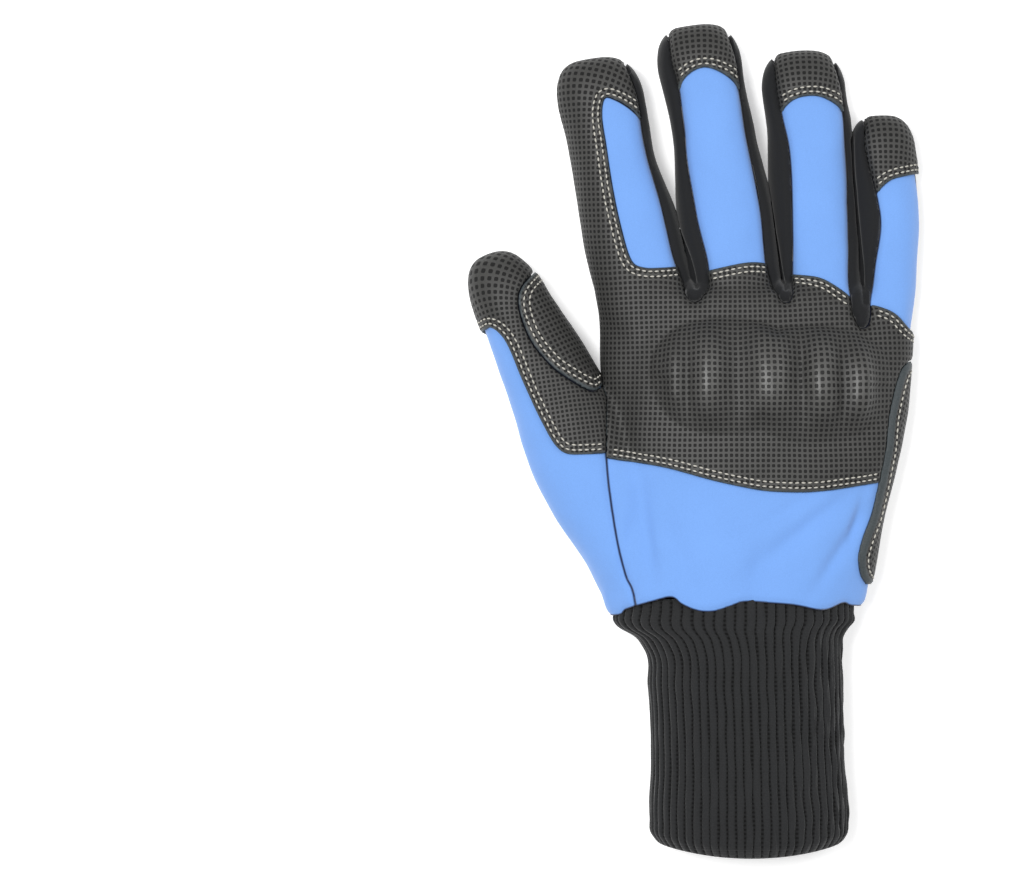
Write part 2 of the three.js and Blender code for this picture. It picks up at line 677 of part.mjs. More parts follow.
function addPiece(name, solid, look) {
  const { numProp, vertProperties, triVerts } = withoutOffcuts(solid).getMesh();
  const geometry = new THREE.BufferGeometry();
  const positions = new Float32Array((vertProperties.length / numProp) * 3);
  for (let i = 0; i < positions.length / 3; i += 1) {
    positions.set(vertProperties.subarray(i * numProp, i * numProp + 3), i * 3);
  }
  geometry.setAttribute('position', new THREE.BufferAttribute(positions, 3));
  geometry.setIndex(new THREE.BufferAttribute(new Uint32Array(triVerts), 1));
  geometry.computeVertexNormals();
  const mesh = new THREE.Mesh(geometry, new THREE.MeshStandardMaterial(look));
  mesh.name = name;
  glove.add(mesh);
}

// The fabric layer
const shell = gloveForm(0).subtract(gloveForm(-FABRIC)).intersect(aboveWrist(CLEARANCE / 2));
const strips = {
  side_strip_index_middle: STRIP_INDEX_MIDDLE,
  side_strip_middle_ring: STRIP_MIDDLE_RING,
  side_strip_ring_little: STRIP_RING_LITTLE,
};
const stripOutlines = Object.values(strips);
const stripClearances = joined(stripOutlines.map((points) => prism(points, THROUGH, CLEARANCE)));

Object.entries(strips).forEach(([name, points]) => {
  addPiece(name, shell.intersect(prism(points, BACK)), BLACK);
});

const thumbBackClearance = prism(THUMB_BACK_OUTLINE, BACK, CLEARANCE);
const thumbWrapClearance = prism(THUMB_WRAP_OUTLINE, THROUGH, CLEARANCE);
const thumbBack = prism(THUMB_BACK_OUTLINE, { from: SEAM_HEIGHT, to: HIGHEST });
const thumbWrap = prism(THUMB_WRAP_OUTLINE, { from: LOWEST, to: SEAM_HEIGHT });
addPiece('thumb_back', shell.intersect(thumbBack.add(thumbWrap)), BLUE);

const WHOLE_PLAN = outline(place(HAND, [[-3, -3], [3, -3]]), place(HAND, [[3, 4], [-3, 4]]));
addPiece(
  'back_panel',
  shell.intersect(prism(WHOLE_PLAN, BACK)).subtract(stripClearances).subtract(thumbBackClearance),
  BLUE,
);

const thumbPalmClearance = prism(THUMB_PALM_OUTLINE, THROUGH, CLEARANCE);
addPiece(
  'thumb_palm',
  shell.intersect(prism(THUMB_PALM_OUTLINE, FRONT)).subtract(thumbWrapClearance),
  BLACK,
);
addPiece(
  'palm_panel',
  shell.intersect(prism(WHOLE_PLAN, FRONT)).subtract(thumbWrapClearance).subtract(thumbPalmClearance),
  BLACK,
);

// The leather layer
const leatherInside = gloveForm(CLEARANCE);
const leather = gloveForm(LEATHER_RISE).subtract(leatherInside);
const thickLeather = gloveForm(LEATHER_RISE + PATCH_PROUD).subtract(leatherInside);

function thumbPatchRegion(grow) {
  return joined([
    prism(THUMB_PATCH_OUTLINE, { from: SEAM_HEIGHT - grow, to: HIGHEST }, grow),
    prism(PATCH_TIP_LOBE, { from: LOWEST, to: SEAM_HEIGHT + grow }, grow),
    prism(PATCH_PALM_LOBE, { from: LOWEST, to: SEAM_HEIGHT + grow }, grow),
  ]);
}

const patchClearance = thumbPatchRegion(CLEARANCE);
addPiece('thumb_patch', thickLeather.intersect(thumbPatchRegion(0)), HIDE);

const thumbCap = prism(THUMB_CAP_OUTLINE, { from: SEAM_HEIGHT, to: HIGHEST });
const thumbCapWrap = prism(THUMB_CAP_WRAP_OUTLINE, { from: LOWEST, to: SEAM_HEIGHT });
addPiece(
  'thumb_cap',
  leather.intersect(thumbCap.add(thumbCapWrap)).subtract(patchClearance),
  HIDE,
);

const edgeBack = prism(EDGE_BACK_OUTLINE, { from: SEAM_HEIGHT, to: HIGHEST });
const edgePalm = prism(EDGE_PALM_OUTLINE, { from: LOWEST, to: SEAM_HEIGHT });
addPiece('edge_guard', leather.intersect(edgeBack.add(edgePalm)), HIDE);
const edgeClearance = joined([
  prism(EDGE_BACK_OUTLINE, BACK, CLEARANCE),
  prism(EDGE_PALM_OUTLINE, FRONT, CLEARANCE),
]);

const capClearance = prism(THUMB_CAP_OUTLINE, BACK, CLEARANCE);
const insertClearance = prism(INSERT_OUTLINE, BACK);
const padding = knucklePad().subtract(leatherInside);
addPiece(
  'knuckle_guard',
  leather.add(padding).intersect(prism(GUARD_OUTLINE, BACK))
    .subtract(stripClearances).subtract(edgeClearance).subtract(capClearance)
    .subtract(patchClearance).subtract(insertClearance),
  HIDE,
);

const caps = { middle_cap: MIDDLE_CAP_OUTLINE, ring_cap: RING_CAP_OUTLINE, little_cap: LITTLE_CAP_OUTLINE };
Object.entries(caps).forEach(([name, points]) => {
  addPiece(name, leather.intersect(prism(points, BACK)).subtract(stripClearances), HIDE);
});

addPiece(
  'palm_patch',
  leather.intersect(prism(PALM_PATCH_OUTLINE, FRONT)).subtract(edgeClearance).subtract(patchClearance),
  HIDE,
);
addPiece('cuff', makeCuff(), KNIT);

// The origin is the middle of the underside of the glove's box
const box = new THREE.Box3().setFromObject(glove);
const centre = box.getCenter(new THREE.Vector3());
glove.position.set(-centre.x, -centre.y, -box.min.z);
glove.updateMatrixWorld(true);

export default glove;
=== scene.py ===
import math
import random

import bmesh
import bpy
import numpy as np
from bpy.props import FloatProperty, FloatVectorProperty, IntProperty, PointerProperty
from mathutils import Matrix, Vector, noise


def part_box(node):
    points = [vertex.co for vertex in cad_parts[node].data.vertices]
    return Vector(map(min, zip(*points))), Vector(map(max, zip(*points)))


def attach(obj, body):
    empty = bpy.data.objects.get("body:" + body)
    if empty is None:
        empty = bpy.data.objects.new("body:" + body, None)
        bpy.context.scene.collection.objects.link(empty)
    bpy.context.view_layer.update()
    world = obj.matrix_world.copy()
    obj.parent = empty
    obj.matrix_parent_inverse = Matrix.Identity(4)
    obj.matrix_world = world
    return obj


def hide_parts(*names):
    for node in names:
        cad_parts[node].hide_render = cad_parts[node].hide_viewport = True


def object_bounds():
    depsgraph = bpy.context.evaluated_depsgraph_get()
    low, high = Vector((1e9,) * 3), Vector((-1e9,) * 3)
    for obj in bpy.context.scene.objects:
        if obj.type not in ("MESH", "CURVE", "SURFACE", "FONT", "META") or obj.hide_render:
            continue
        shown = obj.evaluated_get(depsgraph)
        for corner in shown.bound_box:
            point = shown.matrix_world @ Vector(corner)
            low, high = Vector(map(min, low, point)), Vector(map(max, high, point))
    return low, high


bl_info = {
    "name": "Mechanic glove",
    "version": (1, 0, 0),
    "blender": (4, 5, 0),
    "location": "3D View > Sidebar > Glove",
    "description": "A right-hand work glove of fabric and leather with a knitted cuff, lying palm down",
    "category": "Add Mesh",
}

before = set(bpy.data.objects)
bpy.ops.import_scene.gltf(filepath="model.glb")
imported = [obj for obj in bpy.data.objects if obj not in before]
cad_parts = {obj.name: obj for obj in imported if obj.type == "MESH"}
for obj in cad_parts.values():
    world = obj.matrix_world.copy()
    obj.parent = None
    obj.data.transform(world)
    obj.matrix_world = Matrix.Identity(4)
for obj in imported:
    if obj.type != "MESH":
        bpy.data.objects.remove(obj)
CAD_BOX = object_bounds()
BODY = "root"
MM = 0.001

# While the glove is shaped, the middle of its wrist seam is the origin. The cuff's box tells
# where that is in the part's own frame.
CUFF_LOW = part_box("cuff")[0]
CUFF_FROM_WRIST = Vector((-0.04252, -0.08158, -0.0001))
PLACE = np.array(CUFF_LOW - CUFF_FROM_WRIST)
GROUND = CAD_BOX[0][2] + 0.02 * MM


def length(name, text, default):
    return FloatProperty(name=name, description=text, default=default, unit="LENGTH", subtype="DISTANCE")


def colour(name, text, default):
    return FloatVectorProperty(name=name, description=text, default=default, size=3, min=0, max=1, subtype="COLOR")


class GloveSizes(bpy.types.PropertyGroup):
    palm_length: length("Palm length", "From the wrist seam to the roots of the fingers", 0.112)
    palm_width: length("Palm width", "Across the knuckles", 0.110)
    palm_depth: length("Palm depth", "From the palm to the back of the hand", 0.030)
    index_length: length("Index length", "From the root to the tip of the index finger", 0.083)
    index_width: length("Index width", "Across the index finger", 0.0285)
    middle_length: length("Middle length", "From the root to the tip of the middle finger", 0.094)
    middle_width: length("Middle width", "Across the middle finger", 0.028)
    ring_length: length("Ring length", "From the root to the tip of the ring finger", 0.084)
    ring_width: length("Ring width", "Across the ring finger", 0.0285)
    little_length: length("Little length", "From the root to the tip of the little finger", 0.0615)
    little_width: length("Little width", "Across the little finger", 0.0225)
    thumb_length: length("Thumb length", "From the root to the tip of the thumb", 0.127)
    thumb_width: length("Thumb width", "Across the thumb", 0.041)
    finger_depth: length("Finger depth", "Thickness of a finger", 0.022)
    thumb_depth: length("Thumb depth", "Thickness of the thumb", 0.027)
    fabric: length("Fabric", "Thickness of the fabric", 0.0018)
    leather: length("Leather", "Thickness of the leather", 0.0012)
    patch_proud: length("Patch", "How much thicker the patch on the thumb is", 0.0006)
    clearance: length("Clearance", "Air between fabric and leather", 0.0003)
    seam_height: length("Seam height", "Height of the seam round the sides", 0.010)
    fineness: length("Fineness", "Size of the mesh that shapes the cloth", 0.0009)
    knuckle_rise: length("Knuckle rise", "Height of the moulded knuckle pad", 0.0058)


class CuffSizes(bpy.types.PropertyGroup):
    length: length("Length", "Length of the knitted cuff", 0.082)
    width: length("Width", "Width of the knitted cuff", 0.070)
    depth: length("Depth", "Depth of the knitted cuff", 0.036)
    wall: length("Wall", "Thickness of the knit", 0.003)
    ribs: IntProperty(name="Ribs", description="Number of ribs round the cuff", default=58, min=20, max=120)
    rib_depth: length("Rib depth", "Depth of the grooves between the ribs", 0.0012)
    bow: length("Bow", "How far the middle of the cuff's end reaches past its sides", 0.0045)


class StitchSizes(bpy.types.PropertyGroup):
    pitch: length("Pitch", "From one stitch to the next", 0.0022)
    stitch: length("Stitch", "Length of one stitch", 0.0017)
    thread: length("Thread", "Thickness of the thread", 0.00064)
    first_row: length("First row", "From the leather's edge to the first row", 0.0015)
    second_row: length("Second row", "From the leather's edge to the second row", 0.0032)


class GloveColours(bpy.types.PropertyGroup):
    blue: colour("Blue", "Blue fabric", (0.157, 0.320, 0.700))
    black: colour("Black", "Black fabric", (0.0062, 0.0067, 0.0078))
    hide: colour("Leather", "Raised lattice of the leather", (0.0445, 0.0440, 0.0420))
    dots: colour("Dots", "Small sunk squares of the leather", (0.0035, 0.0035, 0.0034))
    raw_edge: colour("Raw edge", "Cut edge of the leather", (0.062, 0.076, 0.082))
    knit: colour("Knit", "Knitted cuff", (0.0135, 0.0140, 0.0148))
    thread: colour("Thread", "Sewing thread", (0.57, 0.55, 0.49))
    print: colour("Print", "Silver stripes under the fingertips", (0.40, 0.41, 0.43))
    floor: colour("Floor", "Ground under the glove", (0.93, 0.93, 0.93))


# Tables of sections. Across is a share of the frame's reach to a side, up of its length.
# Deep is a share of the form's depth and rest a share of the rise above the leather.
PALM_ROWS = (
    (-0.08, -0.380, 0.380, 1.12, 1.0), (0.00, -0.390, 0.389, 1.12, 1.0), (0.06, -0.412, 0.411, 1.12, 1.0),
    (0.13, -0.389, 0.425, 1.12, 1.0), (0.23, -0.369, 0.445, 1.12, 1.0), (0.38, -0.384, 0.479, 1.09, 1.0),
    (0.56, -0.405, 0.523, 1.04, 1.0), (0.76, -0.409, 0.549, 0.96, 1.0), (0.98, -0.416, 0.556, 0.85, 1.0),
)
INDEX_ROWS = (
    (-0.22, -1.00, 1.00, 1.04, 1.0), (0.00, -1.08, 1.17, 1.06, 1.0), (0.15, -1.10, 1.15, 1.05, 1.0),
    (0.32, -1.12, 1.05, 1.02, 1.0), (0.48, -1.08, 0.89, 0.98, 0.7), (0.60, -1.07, 0.81, 0.95, 0.4),
    (0.72, -1.09, 0.83, 0.92, 0.2), (0.84, -1.14, 0.85, 0.87, 0.1),
)
MIDDLE_ROWS = (
    (-0.20, -1.00, 0.95, 1.06, 1.0), (0.00, -1.11, 1.03, 1.08, 1.0), (0.32, -1.12, 1.09, 1.04, 1.0),
    (0.46, -1.04, 1.03, 1.00, 0.8), (0.59, -0.95, 0.95, 0.97, 0.4), (0.72, -0.97, 0.91, 0.94, 0.2),
    (0.86, -1.07, 0.91, 0.88, 0.1),
)
RING_ROWS = (
    (-0.22, -0.95, 0.80, 1.04, 1.0), (0.00, -1.00, 0.84, 1.06, 1.0), (0.32, -1.04, 0.88, 1.02, 1.0),
    (0.50, -1.03, 0.89, 0.99, 0.6), (0.70, -0.98, 0.95, 0.95, 0.3), (0.85, -1.03, 0.90, 0.88, 0.1),
)
LITTLE_ROWS = (
    (-0.30, -0.80, 0.60, 0.90, 1.0), (0.00, -0.84, 0.91, 0.92, 1.0), (0.20, -0.87, 1.02, 0.91, 1.0),
    (0.38, -0.88, 1.10, 0.89, 0.9), (0.66, -0.88, 1.10, 0.84, 0.3), (0.80, -0.88, 1.01, 0.80, 0.1),
)
THUMB_ROWS = (
    (0.03, -0.63, 0.90, 0.96, 1.5), (0.16, -0.73, 1.10, 1.00, 1.5), (0.28, -0.89, 1.08, 1.00, 1.5),
    (0.44, -0.93, 0.95, 0.96, 1.5), (0.58, -0.84, 0.72, 0.89, 1.5), (0.70, -0.79, 0.60, 0.82, 1.5),
    (0.84, -0.73, 0.42, 0.73, 1.5),
)
# The cuff: down is a share of its length, left and right of its width, deep of its depth, bow of its bow
CUFF_ROWS = (
    (-0.075, -0.590, 0.590, 0.915, 0.0), (-0.02, -0.596, 0.594, 0.935, 0.0), (0.020, -0.604, 0.592, 0.965, 0.1),
    (0.050, -0.580, 0.560, 0.985, 0.1), (0.085, -0.505, 0.540, 1.000, 0.1), (0.140, -0.452, 0.535, 1.000, 0.1),
    (0.30, -0.430, 0.540, 1.000, 0.3), (0.62, -0.415, 0.548, 1.000, 0.7), (0.86, -0.422, 0.566, 0.995, 0.95),
    (0.925, -0.414, 0.560, 0.975, 1.0), (0.945, -0.398, 0.545, 0.940, 1.0),
)
# A section: the share of its height where it is widest, its roundness above and below, how far its
# underside is pushed down before it is cut flat, and the gathers at the wrist
WIDEST = 0.42
ROUND_ABOVE = 2.3
SQUARE_BELOW = 2.9
SINK = 1.12
GATHERS = 6
GATHER_DEPTH = 1.1 * MM
GATHER_REACH = 0.26
UPPER_SIDE = 0.1

# Folds of the fabric: place, half width and half length as shares of the palm's length, turn, depth in mm
FOLDS = (
    (0.235, 0.285, 0.030, 0.200, 52, 1.5), (0.330, 0.205, 0.024, 0.150, 34, 1.6),
    (0.160, 0.330, 0.022, 0.120, 60, 0.7), (-0.170, 0.170, 0.035, 0.160, -18, 1.1),
    (-0.275, 0.220, 0.022, 0.130, -8, 0.9), (0.060, 0.110, 0.035, 0.090, 4, 0.9),
    (0.385, 0.300, 0.018, 0.100, 14, 1.1), (-0.360, 0.580, 0.060, 0.200, 8, 1.6),
    (-0.330, 0.250, 0.030, 0.120, 12, 1.2),
)
# The moulded knuckles: place on the hand, half width and half length in mm, height as a share of the rise
PAD_DOMES = ((-0.030, 0.738, 25.5, 20.0, 0.62), (0.232, 0.715, 27.5, 20.0, 0.62))
PAD_RIDGES = (
    (-0.186, 0.735, 3.8, 13.5, 0.45), (-0.086, 0.745, 5.8, 15.0, 0.74), (0.108, 0.745, 7.8, 16.0, 0.84),
    (0.264, 0.735, 5.6, 15.0, 0.82), (0.380, 0.715, 4.8, 13.5, 0.74),
)

# Plan outlines and seams: the frame, and then points as shares of its reach aside and of its length ahead
SEAMS = {
    "index": ("I", ((0.99, -0.02), (0.94, 0.07), (0.88, 0.16), (0.85, 0.30), (0.77, 0.48), (0.72, 0.62), (0.74, 0.76),
                    (0.70, 0.86), (0.45, 1.08))),
    "middle_left": ("M", ((-0.75, 0.04), (-0.71, 0.14), (-0.80, 0.29), (-0.83, 0.47), (-0.78, 0.64), (-0.74, 0.80),
                          (-0.78, 0.90), (-0.70, 1.08))),
    "middle_right": ("M", ((0.83, 0.00), (0.79, 0.09), (0.85, 0.25), (0.85, 0.45), (0.82, 0.61), (0.83, 0.74),
                           (0.80, 0.88), (0.62, 1.08))),
    "ring_left": ("R", ((-0.81, 0.04), (-0.79, 0.12), (-0.65, 0.39), (-0.615, 0.60), (-0.715, 0.76), (-0.77, 0.90),
                        (-0.70, 1.08))),
    "ring_right": ("R", ((0.61, -0.10), (0.615, 0.01), (0.73, 0.24), (0.81, 0.46), (0.855, 0.645), (0.86, 0.74),
                         (0.83, 0.84), (0.55, 1.10))),
    "little_left": ("L", ((-0.58, -0.04), (-0.41, 0.16), (-0.16, 0.38), (-0.235, 0.56), (-0.51, 0.825), (-0.47, 0.95),
                          (-0.46, 1.12))),
}
STRIP_SEAMS = {
    "index_middle": ("index", "middle_left"),
    "middle_ring": ("middle_right", "ring_left"),
    "ring_little": ("ring_right", "little_left"),
}
STRIP_TIPS = {
    "index_middle": ((-0.098, 1.000), (-0.112, 0.981), (-0.130, 0.975), (-0.148, 0.984), (-0.158, 1.004)),
    "middle_ring": ((0.180, 1.000), (0.172, 0.979), (0.157, 0.972), (0.142, 0.980), (0.134, 1.000)),
    "ring_little": ((0.425, 0.925), (0.418, 0.903), (0.402, 0.893), (0.386, 0.902), (0.378, 0.925)),
}
INSERT_EDGE = ("I", ((1.40, 0.10), (0.91, 0.09), (0.50, 0.095), (0.08, 0.11), (-0.165, 0.15), (-0.255, 0.29),
                     (-0.275, 0.46), (-0.24, 0.64), (-0.21, 0.76), (-0.08, 0.83), (0.12, 0.82), (0.40, 0.78),
                     (0.76, 0.71), (1.40, 0.62)))
MIDDLE_ARCH = ("M", ((-0.95, 0.73), (-0.73, 0.78), (-0.40, 0.83), (0.02, 0.845), (0.47, 0.805), (0.83, 0.74),
                     (1.00, 0.70)))
RING_ARCH = ("R", ((-0.95, 0.72), (-0.715, 0.76), (-0.35, 0.81), (0.14, 0.818), (0.525, 0.79), (0.86, 0.74),
                   (1.05, 0.70)))
LITTLE_ARCH = ("L", ((-0.42, 0.50), (-0.235, 0.56), (0.05, 0.615), (0.32, 0.645), (0.70, 0.66), (1.02, 0.67),
                     (1.30, 0.67)))
GUARD_LOWER = ("H", ((-0.406, 0.49), (-0.34, 0.48), (-0.22, 0.46), (-0.07, 0.42), (0.065, 0.392), (0.16, 0.385),
                     (0.26, 0.388), (0.35, 0.40), (0.45, 0.415)))
GUARD_RING_TOP = ("H", ((0.43, 0.965), (0.36, 0.99), (0.31, 1.025), (0.26, 1.05), (0.18, 1.06), (0.14, 1.062)))
GUARD_LITTLE_TOP = ("H", ((0.62, 0.86), (0.555, 0.885), (0.50, 0.94), (0.43, 0.965)))
GUARD_MIDDLE_TOP = ("H", ((0.14, 1.085), (0.10, 1.092), (0.035, 1.095), (-0.08, 1.072), (-0.13, 1.06)))
THUMB_CAP_EDGE = ("T", ((-1.60, 0.83), (-0.76, 0.82), (-0.60, 0.82), (-0.485, 0.785), (-0.45, 0.73), (-0.46, 0.64),
                        (-0.45, 0.58), (-0.42, 0.50), (-0.37, 0.45), (-0.25, 0.42), (0.02, 0.40), (0.33, 0.382)))
THUMB_WRAP_EDGE = ("T", ((-1.60, 0.84), (-0.90, 0.832), (-0.72, 0.815), (-0.52, 0.755), (-0.20, 0.675),
                         (-0.175, 0.672)))
PATCH_EDGE = ("T", ((0.42, 0.925), (0.35, 0.91), (0.13, 0.89), (0.00, 0.865), (-0.075, 0.82), (-0.08, 0.74),
                    (0.05, 0.665), (0.195, 0.62), (0.36, 0.58), (0.54, 0.55), (0.70, 0.555)))
PATCH_TIP_EDGE = ("T", ((0.45, 0.925), (0.31, 0.90), (0.21, 0.844), (0.16, 0.789), (0.245, 0.745), (0.47, 0.738),
                        (0.70, 0.752)))
PATCH_LEAF_EDGE = ("H", ((-0.461, 0.84), (-0.461, 0.745), (-0.483, 0.705), (-0.505, 0.668), (-0.502, 0.621),
                         (-0.470, 0.588), (-0.423, 0.588), (-0.386, 0.628), (-0.373, 0.662), (-0.40, 0.69),
                         (-0.436, 0.75), (-0.44, 0.84)))
EDGE_BACK = ("H", ((0.60, 0.800), (0.547, 0.79), (0.515, 0.75), (0.486, 0.64), (0.47, 0.51), (0.45, 0.40),
                   (0.43, 0.32), (0.40, 0.24), (0.385, 0.18), (0.392, 0.13), (0.410, 0.10)))
EDGE_PALM = ("H", ((0.60, 0.78), (0.53, 0.775), (0.505, 0.74), (0.490, 0.68), (0.475, 0.60), (0.45, 0.47),
                   (0.42, 0.31), (0.405, 0.23), (0.41, 0.195), (0.44, 0.185), (0.60, 0.185)))
WRIST_WAVE = ("H", ((-0.60, 0.0), (-0.39, 0.0), (-0.35, 0.02), (-0.28, 0.044), (-0.205, 0.062), (-0.17, 0.04),
                    (-0.12, 0.02), (-0.07, 0.018), (-0.02, 0.033), (0.025, 0.047), (0.10, 0.044), (0.19, 0.036),
                    (0.28, 0.02), (0.345, 0.04), (0.39, 0.03), (0.60, 0.03)))
PALM_PATCH_EDGE = (
    ("H", ((-0.452, 1.161), (-0.435, 1.176), (-0.405, 1.182), (-0.327, 1.182), (-0.301, 1.151), (-0.296, 1.08),
           (-0.276, 1.019), (-0.249, 0.983), (-0.207, 0.977), (-0.166, 0.993), (-0.140, 1.039), (-0.124, 1.10),
           (-0.114, 1.171), (-0.093, 1.207), (-0.041, 1.217), (0.0, 1.207), (0.019, 1.171), (0.016, 1.10),
           (0.0, 1.05), (0.016, 1.003), (0.053, 0.977), (0.094, 0.988), (0.12, 1.023), (0.131, 1.09),
           (0.135, 1.135), (0.150, 1.167), (0.177, 1.184), (0.229, 1.184), (0.256, 1.167), (0.263, 1.121),
           (0.261, 1.039), (0.276, 0.967), (0.308, 0.936), (0.344, 0.931), (0.37, 0.952), (0.385, 1.008),
           (0.397, 1.059), (0.417, 1.096), (0.458, 1.108))),
    ("H", ((0.464, 0.906), (0.487, 0.773), (0.464, 0.723), (0.437, 0.708), (0.395, 0.717), (0.323, 0.748),
           (0.219, 0.779), (0.115, 0.796), (0.011, 0.812), (-0.072, 0.826), (-0.112, 0.824), (-0.119, 0.809),
           (-0.062, 0.742), (0.011, 0.681), (0.115, 0.62), (0.219, 0.548), (0.323, 0.456), (0.386, 0.395),
           (0.427, 0.334), (0.437, 0.252), (0.432, 0.16), (0.406, 0.11), (0.344, 0.083), (0.24, 0.079),
           (0.115, 0.083), (0.042, 0.11), (-0.01, 0.16), (-0.031, 0.232), (-0.025, 0.304), (0.006, 0.354),
           (0.053, 0.385), (0.072, 0.410), (0.050, 0.442), (-0.031, 0.508), (-0.135, 0.574), (-0.238, 0.631),
           (-0.343, 0.686), (-0.405, 0.717), (-0.436, 0.748))),
)
PALM_INNER_LINES = (
    ("H", ((-0.350, 1.080), (-0.345, 0.90), (-0.335, 0.765))),
    ("H", ((-0.335, 0.765), (-0.16, 0.655), (0.06, 0.515), (0.235, 0.385), (0.285, 0.330))),
    ("H", ((-0.335, 0.835), (-0.10, 0.885), (0.20, 0.862), (0.425, 0.775))),
)
HEEL_OVAL = ("H", ((0.055, 0.235), (0.11, 0.305), (0.21, 0.325), (0.32, 0.315), (0.385, 0.27), (0.405, 0.205),
                   (0.375, 0.125), (0.21, 0.112), (0.11, 0.13), (0.07, 0.17), (0.055, 0.235)))
# Straight parts that close the outlines beyond the seams
INSERT_BEYOND = ("I", ((1.60, 0.62), (1.60, 0.10)))
EDGE_BACK_BEYOND = ("H", ((0.70, 0.11), (0.70, 0.30), (0.70, 0.79)))
EDGE_PALM_BEYOND = ("H", ((0.70, 0.185), (0.70, 0.77)))
CAP_INNER = ("T", ((0.72, 0.522), (0.725, 0.575)))
CAP_BEYOND = ("T", ((0.812, 0.766), (1.40, 1.30), (-1.60, 1.30)))
WRAP_SIDE = ("T", ((-0.07, 0.78), (-0.05, 0.86), (-0.13, 0.95), (-0.26, 1.20)))
WRAP_BEYOND = ("T", ((-1.60, 1.20), (-1.60, 1.00)))
PATCH_BEYOND = ("T", ((0.765, 0.587), (0.812, 0.766), (0.769, 0.883)))
PATCH_TIP_BEYOND = ("T", ((0.812, 0.766), (0.769, 0.883)))
GUARD_START = (("H", ((-0.60, 0.78), (-0.43, 0.735))), ("H", ((-0.406, 0.68), (-0.406, 0.49))))
GUARD_SIDE = ("H", ((0.60, 0.43), (0.62, 0.87)))
GUARD_BEYOND = (("I", ((1.30, 0.10), (1.30, 1.30))), ("I", ((-1.80, 1.30), (-1.80, 0.0))))
GUARD_OUTLINE = (
    *GUARD_START, GUARD_LOWER, GUARD_SIDE, GUARD_LITTLE_TOP, GUARD_RING_TOP, GUARD_MIDDLE_TOP, *GUARD_BEYOND,
)
CREASES = {
    "index_middle": ("H", ((-0.172, 1.20), (-0.147, 1.13), (-0.127, 1.06), (-0.122, 1.015))),
    "middle_ring": ("H", ((0.117, 1.28), (0.134, 1.17), (0.152, 1.06), (0.159, 1.01))),
    "ring_little": ("H", ((0.374, 1.48), (0.386, 1.30), (0.404, 1.10), (0.408, 0.97))),
}
CAP_SIDES = {
    "middle_cap": (MIDDLE_ARCH, ("M", ((1.12, 0.70), (1.12, 1.30))), ("M", ((-1.07, 1.30), (-1.07, 0.73)))),
    "ring_cap": (RING_ARCH, ("R", ((1.17, 0.70), (1.17, 1.30))), ("R", ((-1.07, 1.30), (-1.07, 0.72)))),
    "little_cap": (LITTLE_ARCH, ("L", ((1.60, 0.67), (1.60, 1.40))), ("L", ((-0.56, 1.40), (-0.56, 0.50)))),
}
LEATHER_REGIONS = {
    "guard": GUARD_OUTLINE,
    "insert": (INSERT_EDGE, INSERT_BEYOND),
    "edge": (EDGE_BACK, EDGE_BACK_BEYOND),
    "edge_palm": (EDGE_PALM, EDGE_PALM_BEYOND),
    "cap": (THUMB_CAP_EDGE, CAP_INNER, CAP_BEYOND),
    "wrap": (THUMB_WRAP_EDGE, WRAP_SIDE, WRAP_BEYOND),
    "patch": (PATCH_EDGE, PATCH_BEYOND),
    "patch_tip": (PATCH_TIP_EDGE, PATCH_TIP_BEYOND),
    "leaf": (PATCH_LEAF_EDGE,),
}
THUMB_AIR = ("H", ((-0.50, 0.94), (-0.68, 1.34)))
THUMB_FAR = ("H", ((-1.2, 1.34), (-1.2, -0.3)))
THUMB_SIDES = {
    "thumb_back": (
        ("H", ((-0.30, -0.30), (-0.32, 0.04), (-0.35, 0.13), (-0.38, 0.27), (-0.40, 0.42), (-0.41, 0.60),
               (-0.43, 0.74))),
        THUMB_AIR, THUMB_FAR,
    ),
    "thumb_wrap": (
        ("T", ((0.80, -0.20), (0.60, -0.06), (0.46, 0.01), (0.34, 0.105), (0.13, 0.21), (-0.09, 0.36),
               (-0.14, 0.50), (-0.18, 0.60), (-0.17, 0.68))),
        ("T", ((-0.06, 0.78), (-0.04, 0.86), (-0.12, 0.95), (-0.26, 1.20))), THUMB_FAR,
    ),
    "thumb_palm": (
        ("H", ((-0.29, 0.15), (-0.31, 0.26), (-0.355, 0.40), (-0.395, 0.60), (-0.43, 0.74))),
        THUMB_AIR, THUMB_FAR,
    ),
}

# The tubes that make the glove's surface. A finger has its frame, its rows, where the middle of its
# tip lies across, and the power that rounds its end.
PALM_ROUND = 0.62
PALM_REACH = 1.03
FINGERS = (
    ("I", INDEX_ROWS, -0.42, 0.50), ("M", MIDDLE_ROWS, -0.22, 0.50), ("R", RING_ROWS, -0.28, 0.50),
    ("L", LITTLE_ROWS, -0.08, 0.52), ("T", THUMB_ROWS, -0.24, 0.72),
)
CURVE_STEPS = 6
RING_POINTS = 72
TUBE_STEPS = 60
END_DEGREES = (6, 88)
END_STEPS = 14
MERGE = 0.01 * MM
SHORTEST = 1e-14
FAR = 12 * MM
SKIN_SMOOTHING = 5
LAST_SMOOTHING = 3
# Where the fingers and the thumb join the hand: the box's lowest and highest corner, and how often it is smoothed
ROOTS = (
    ((-0.060, 0.090, 0.012), (1.000, 0.117, 1.000), 14),
    ((-0.058, 0.000, -1.000), (-0.028, 0.083, 1.000), 10),
)
CUT_MARGIN = 0.03
CRUMB_FACES = 150

# Folds show from this height on. The unevenness has its depth, scale, stretch and seed.
FOLDS_FROM = 12 * MM
FOLDS_RUN = 8 * MM
UNEVEN_FROM = 4 * MM
UNEVEN_RUN = 6 * MM
UNEVEN = ((0.35 * MM, 70, (1, 1, 1), 0.0), (0.22 * MM, 170, (1, 0.6, 1), 5.0))

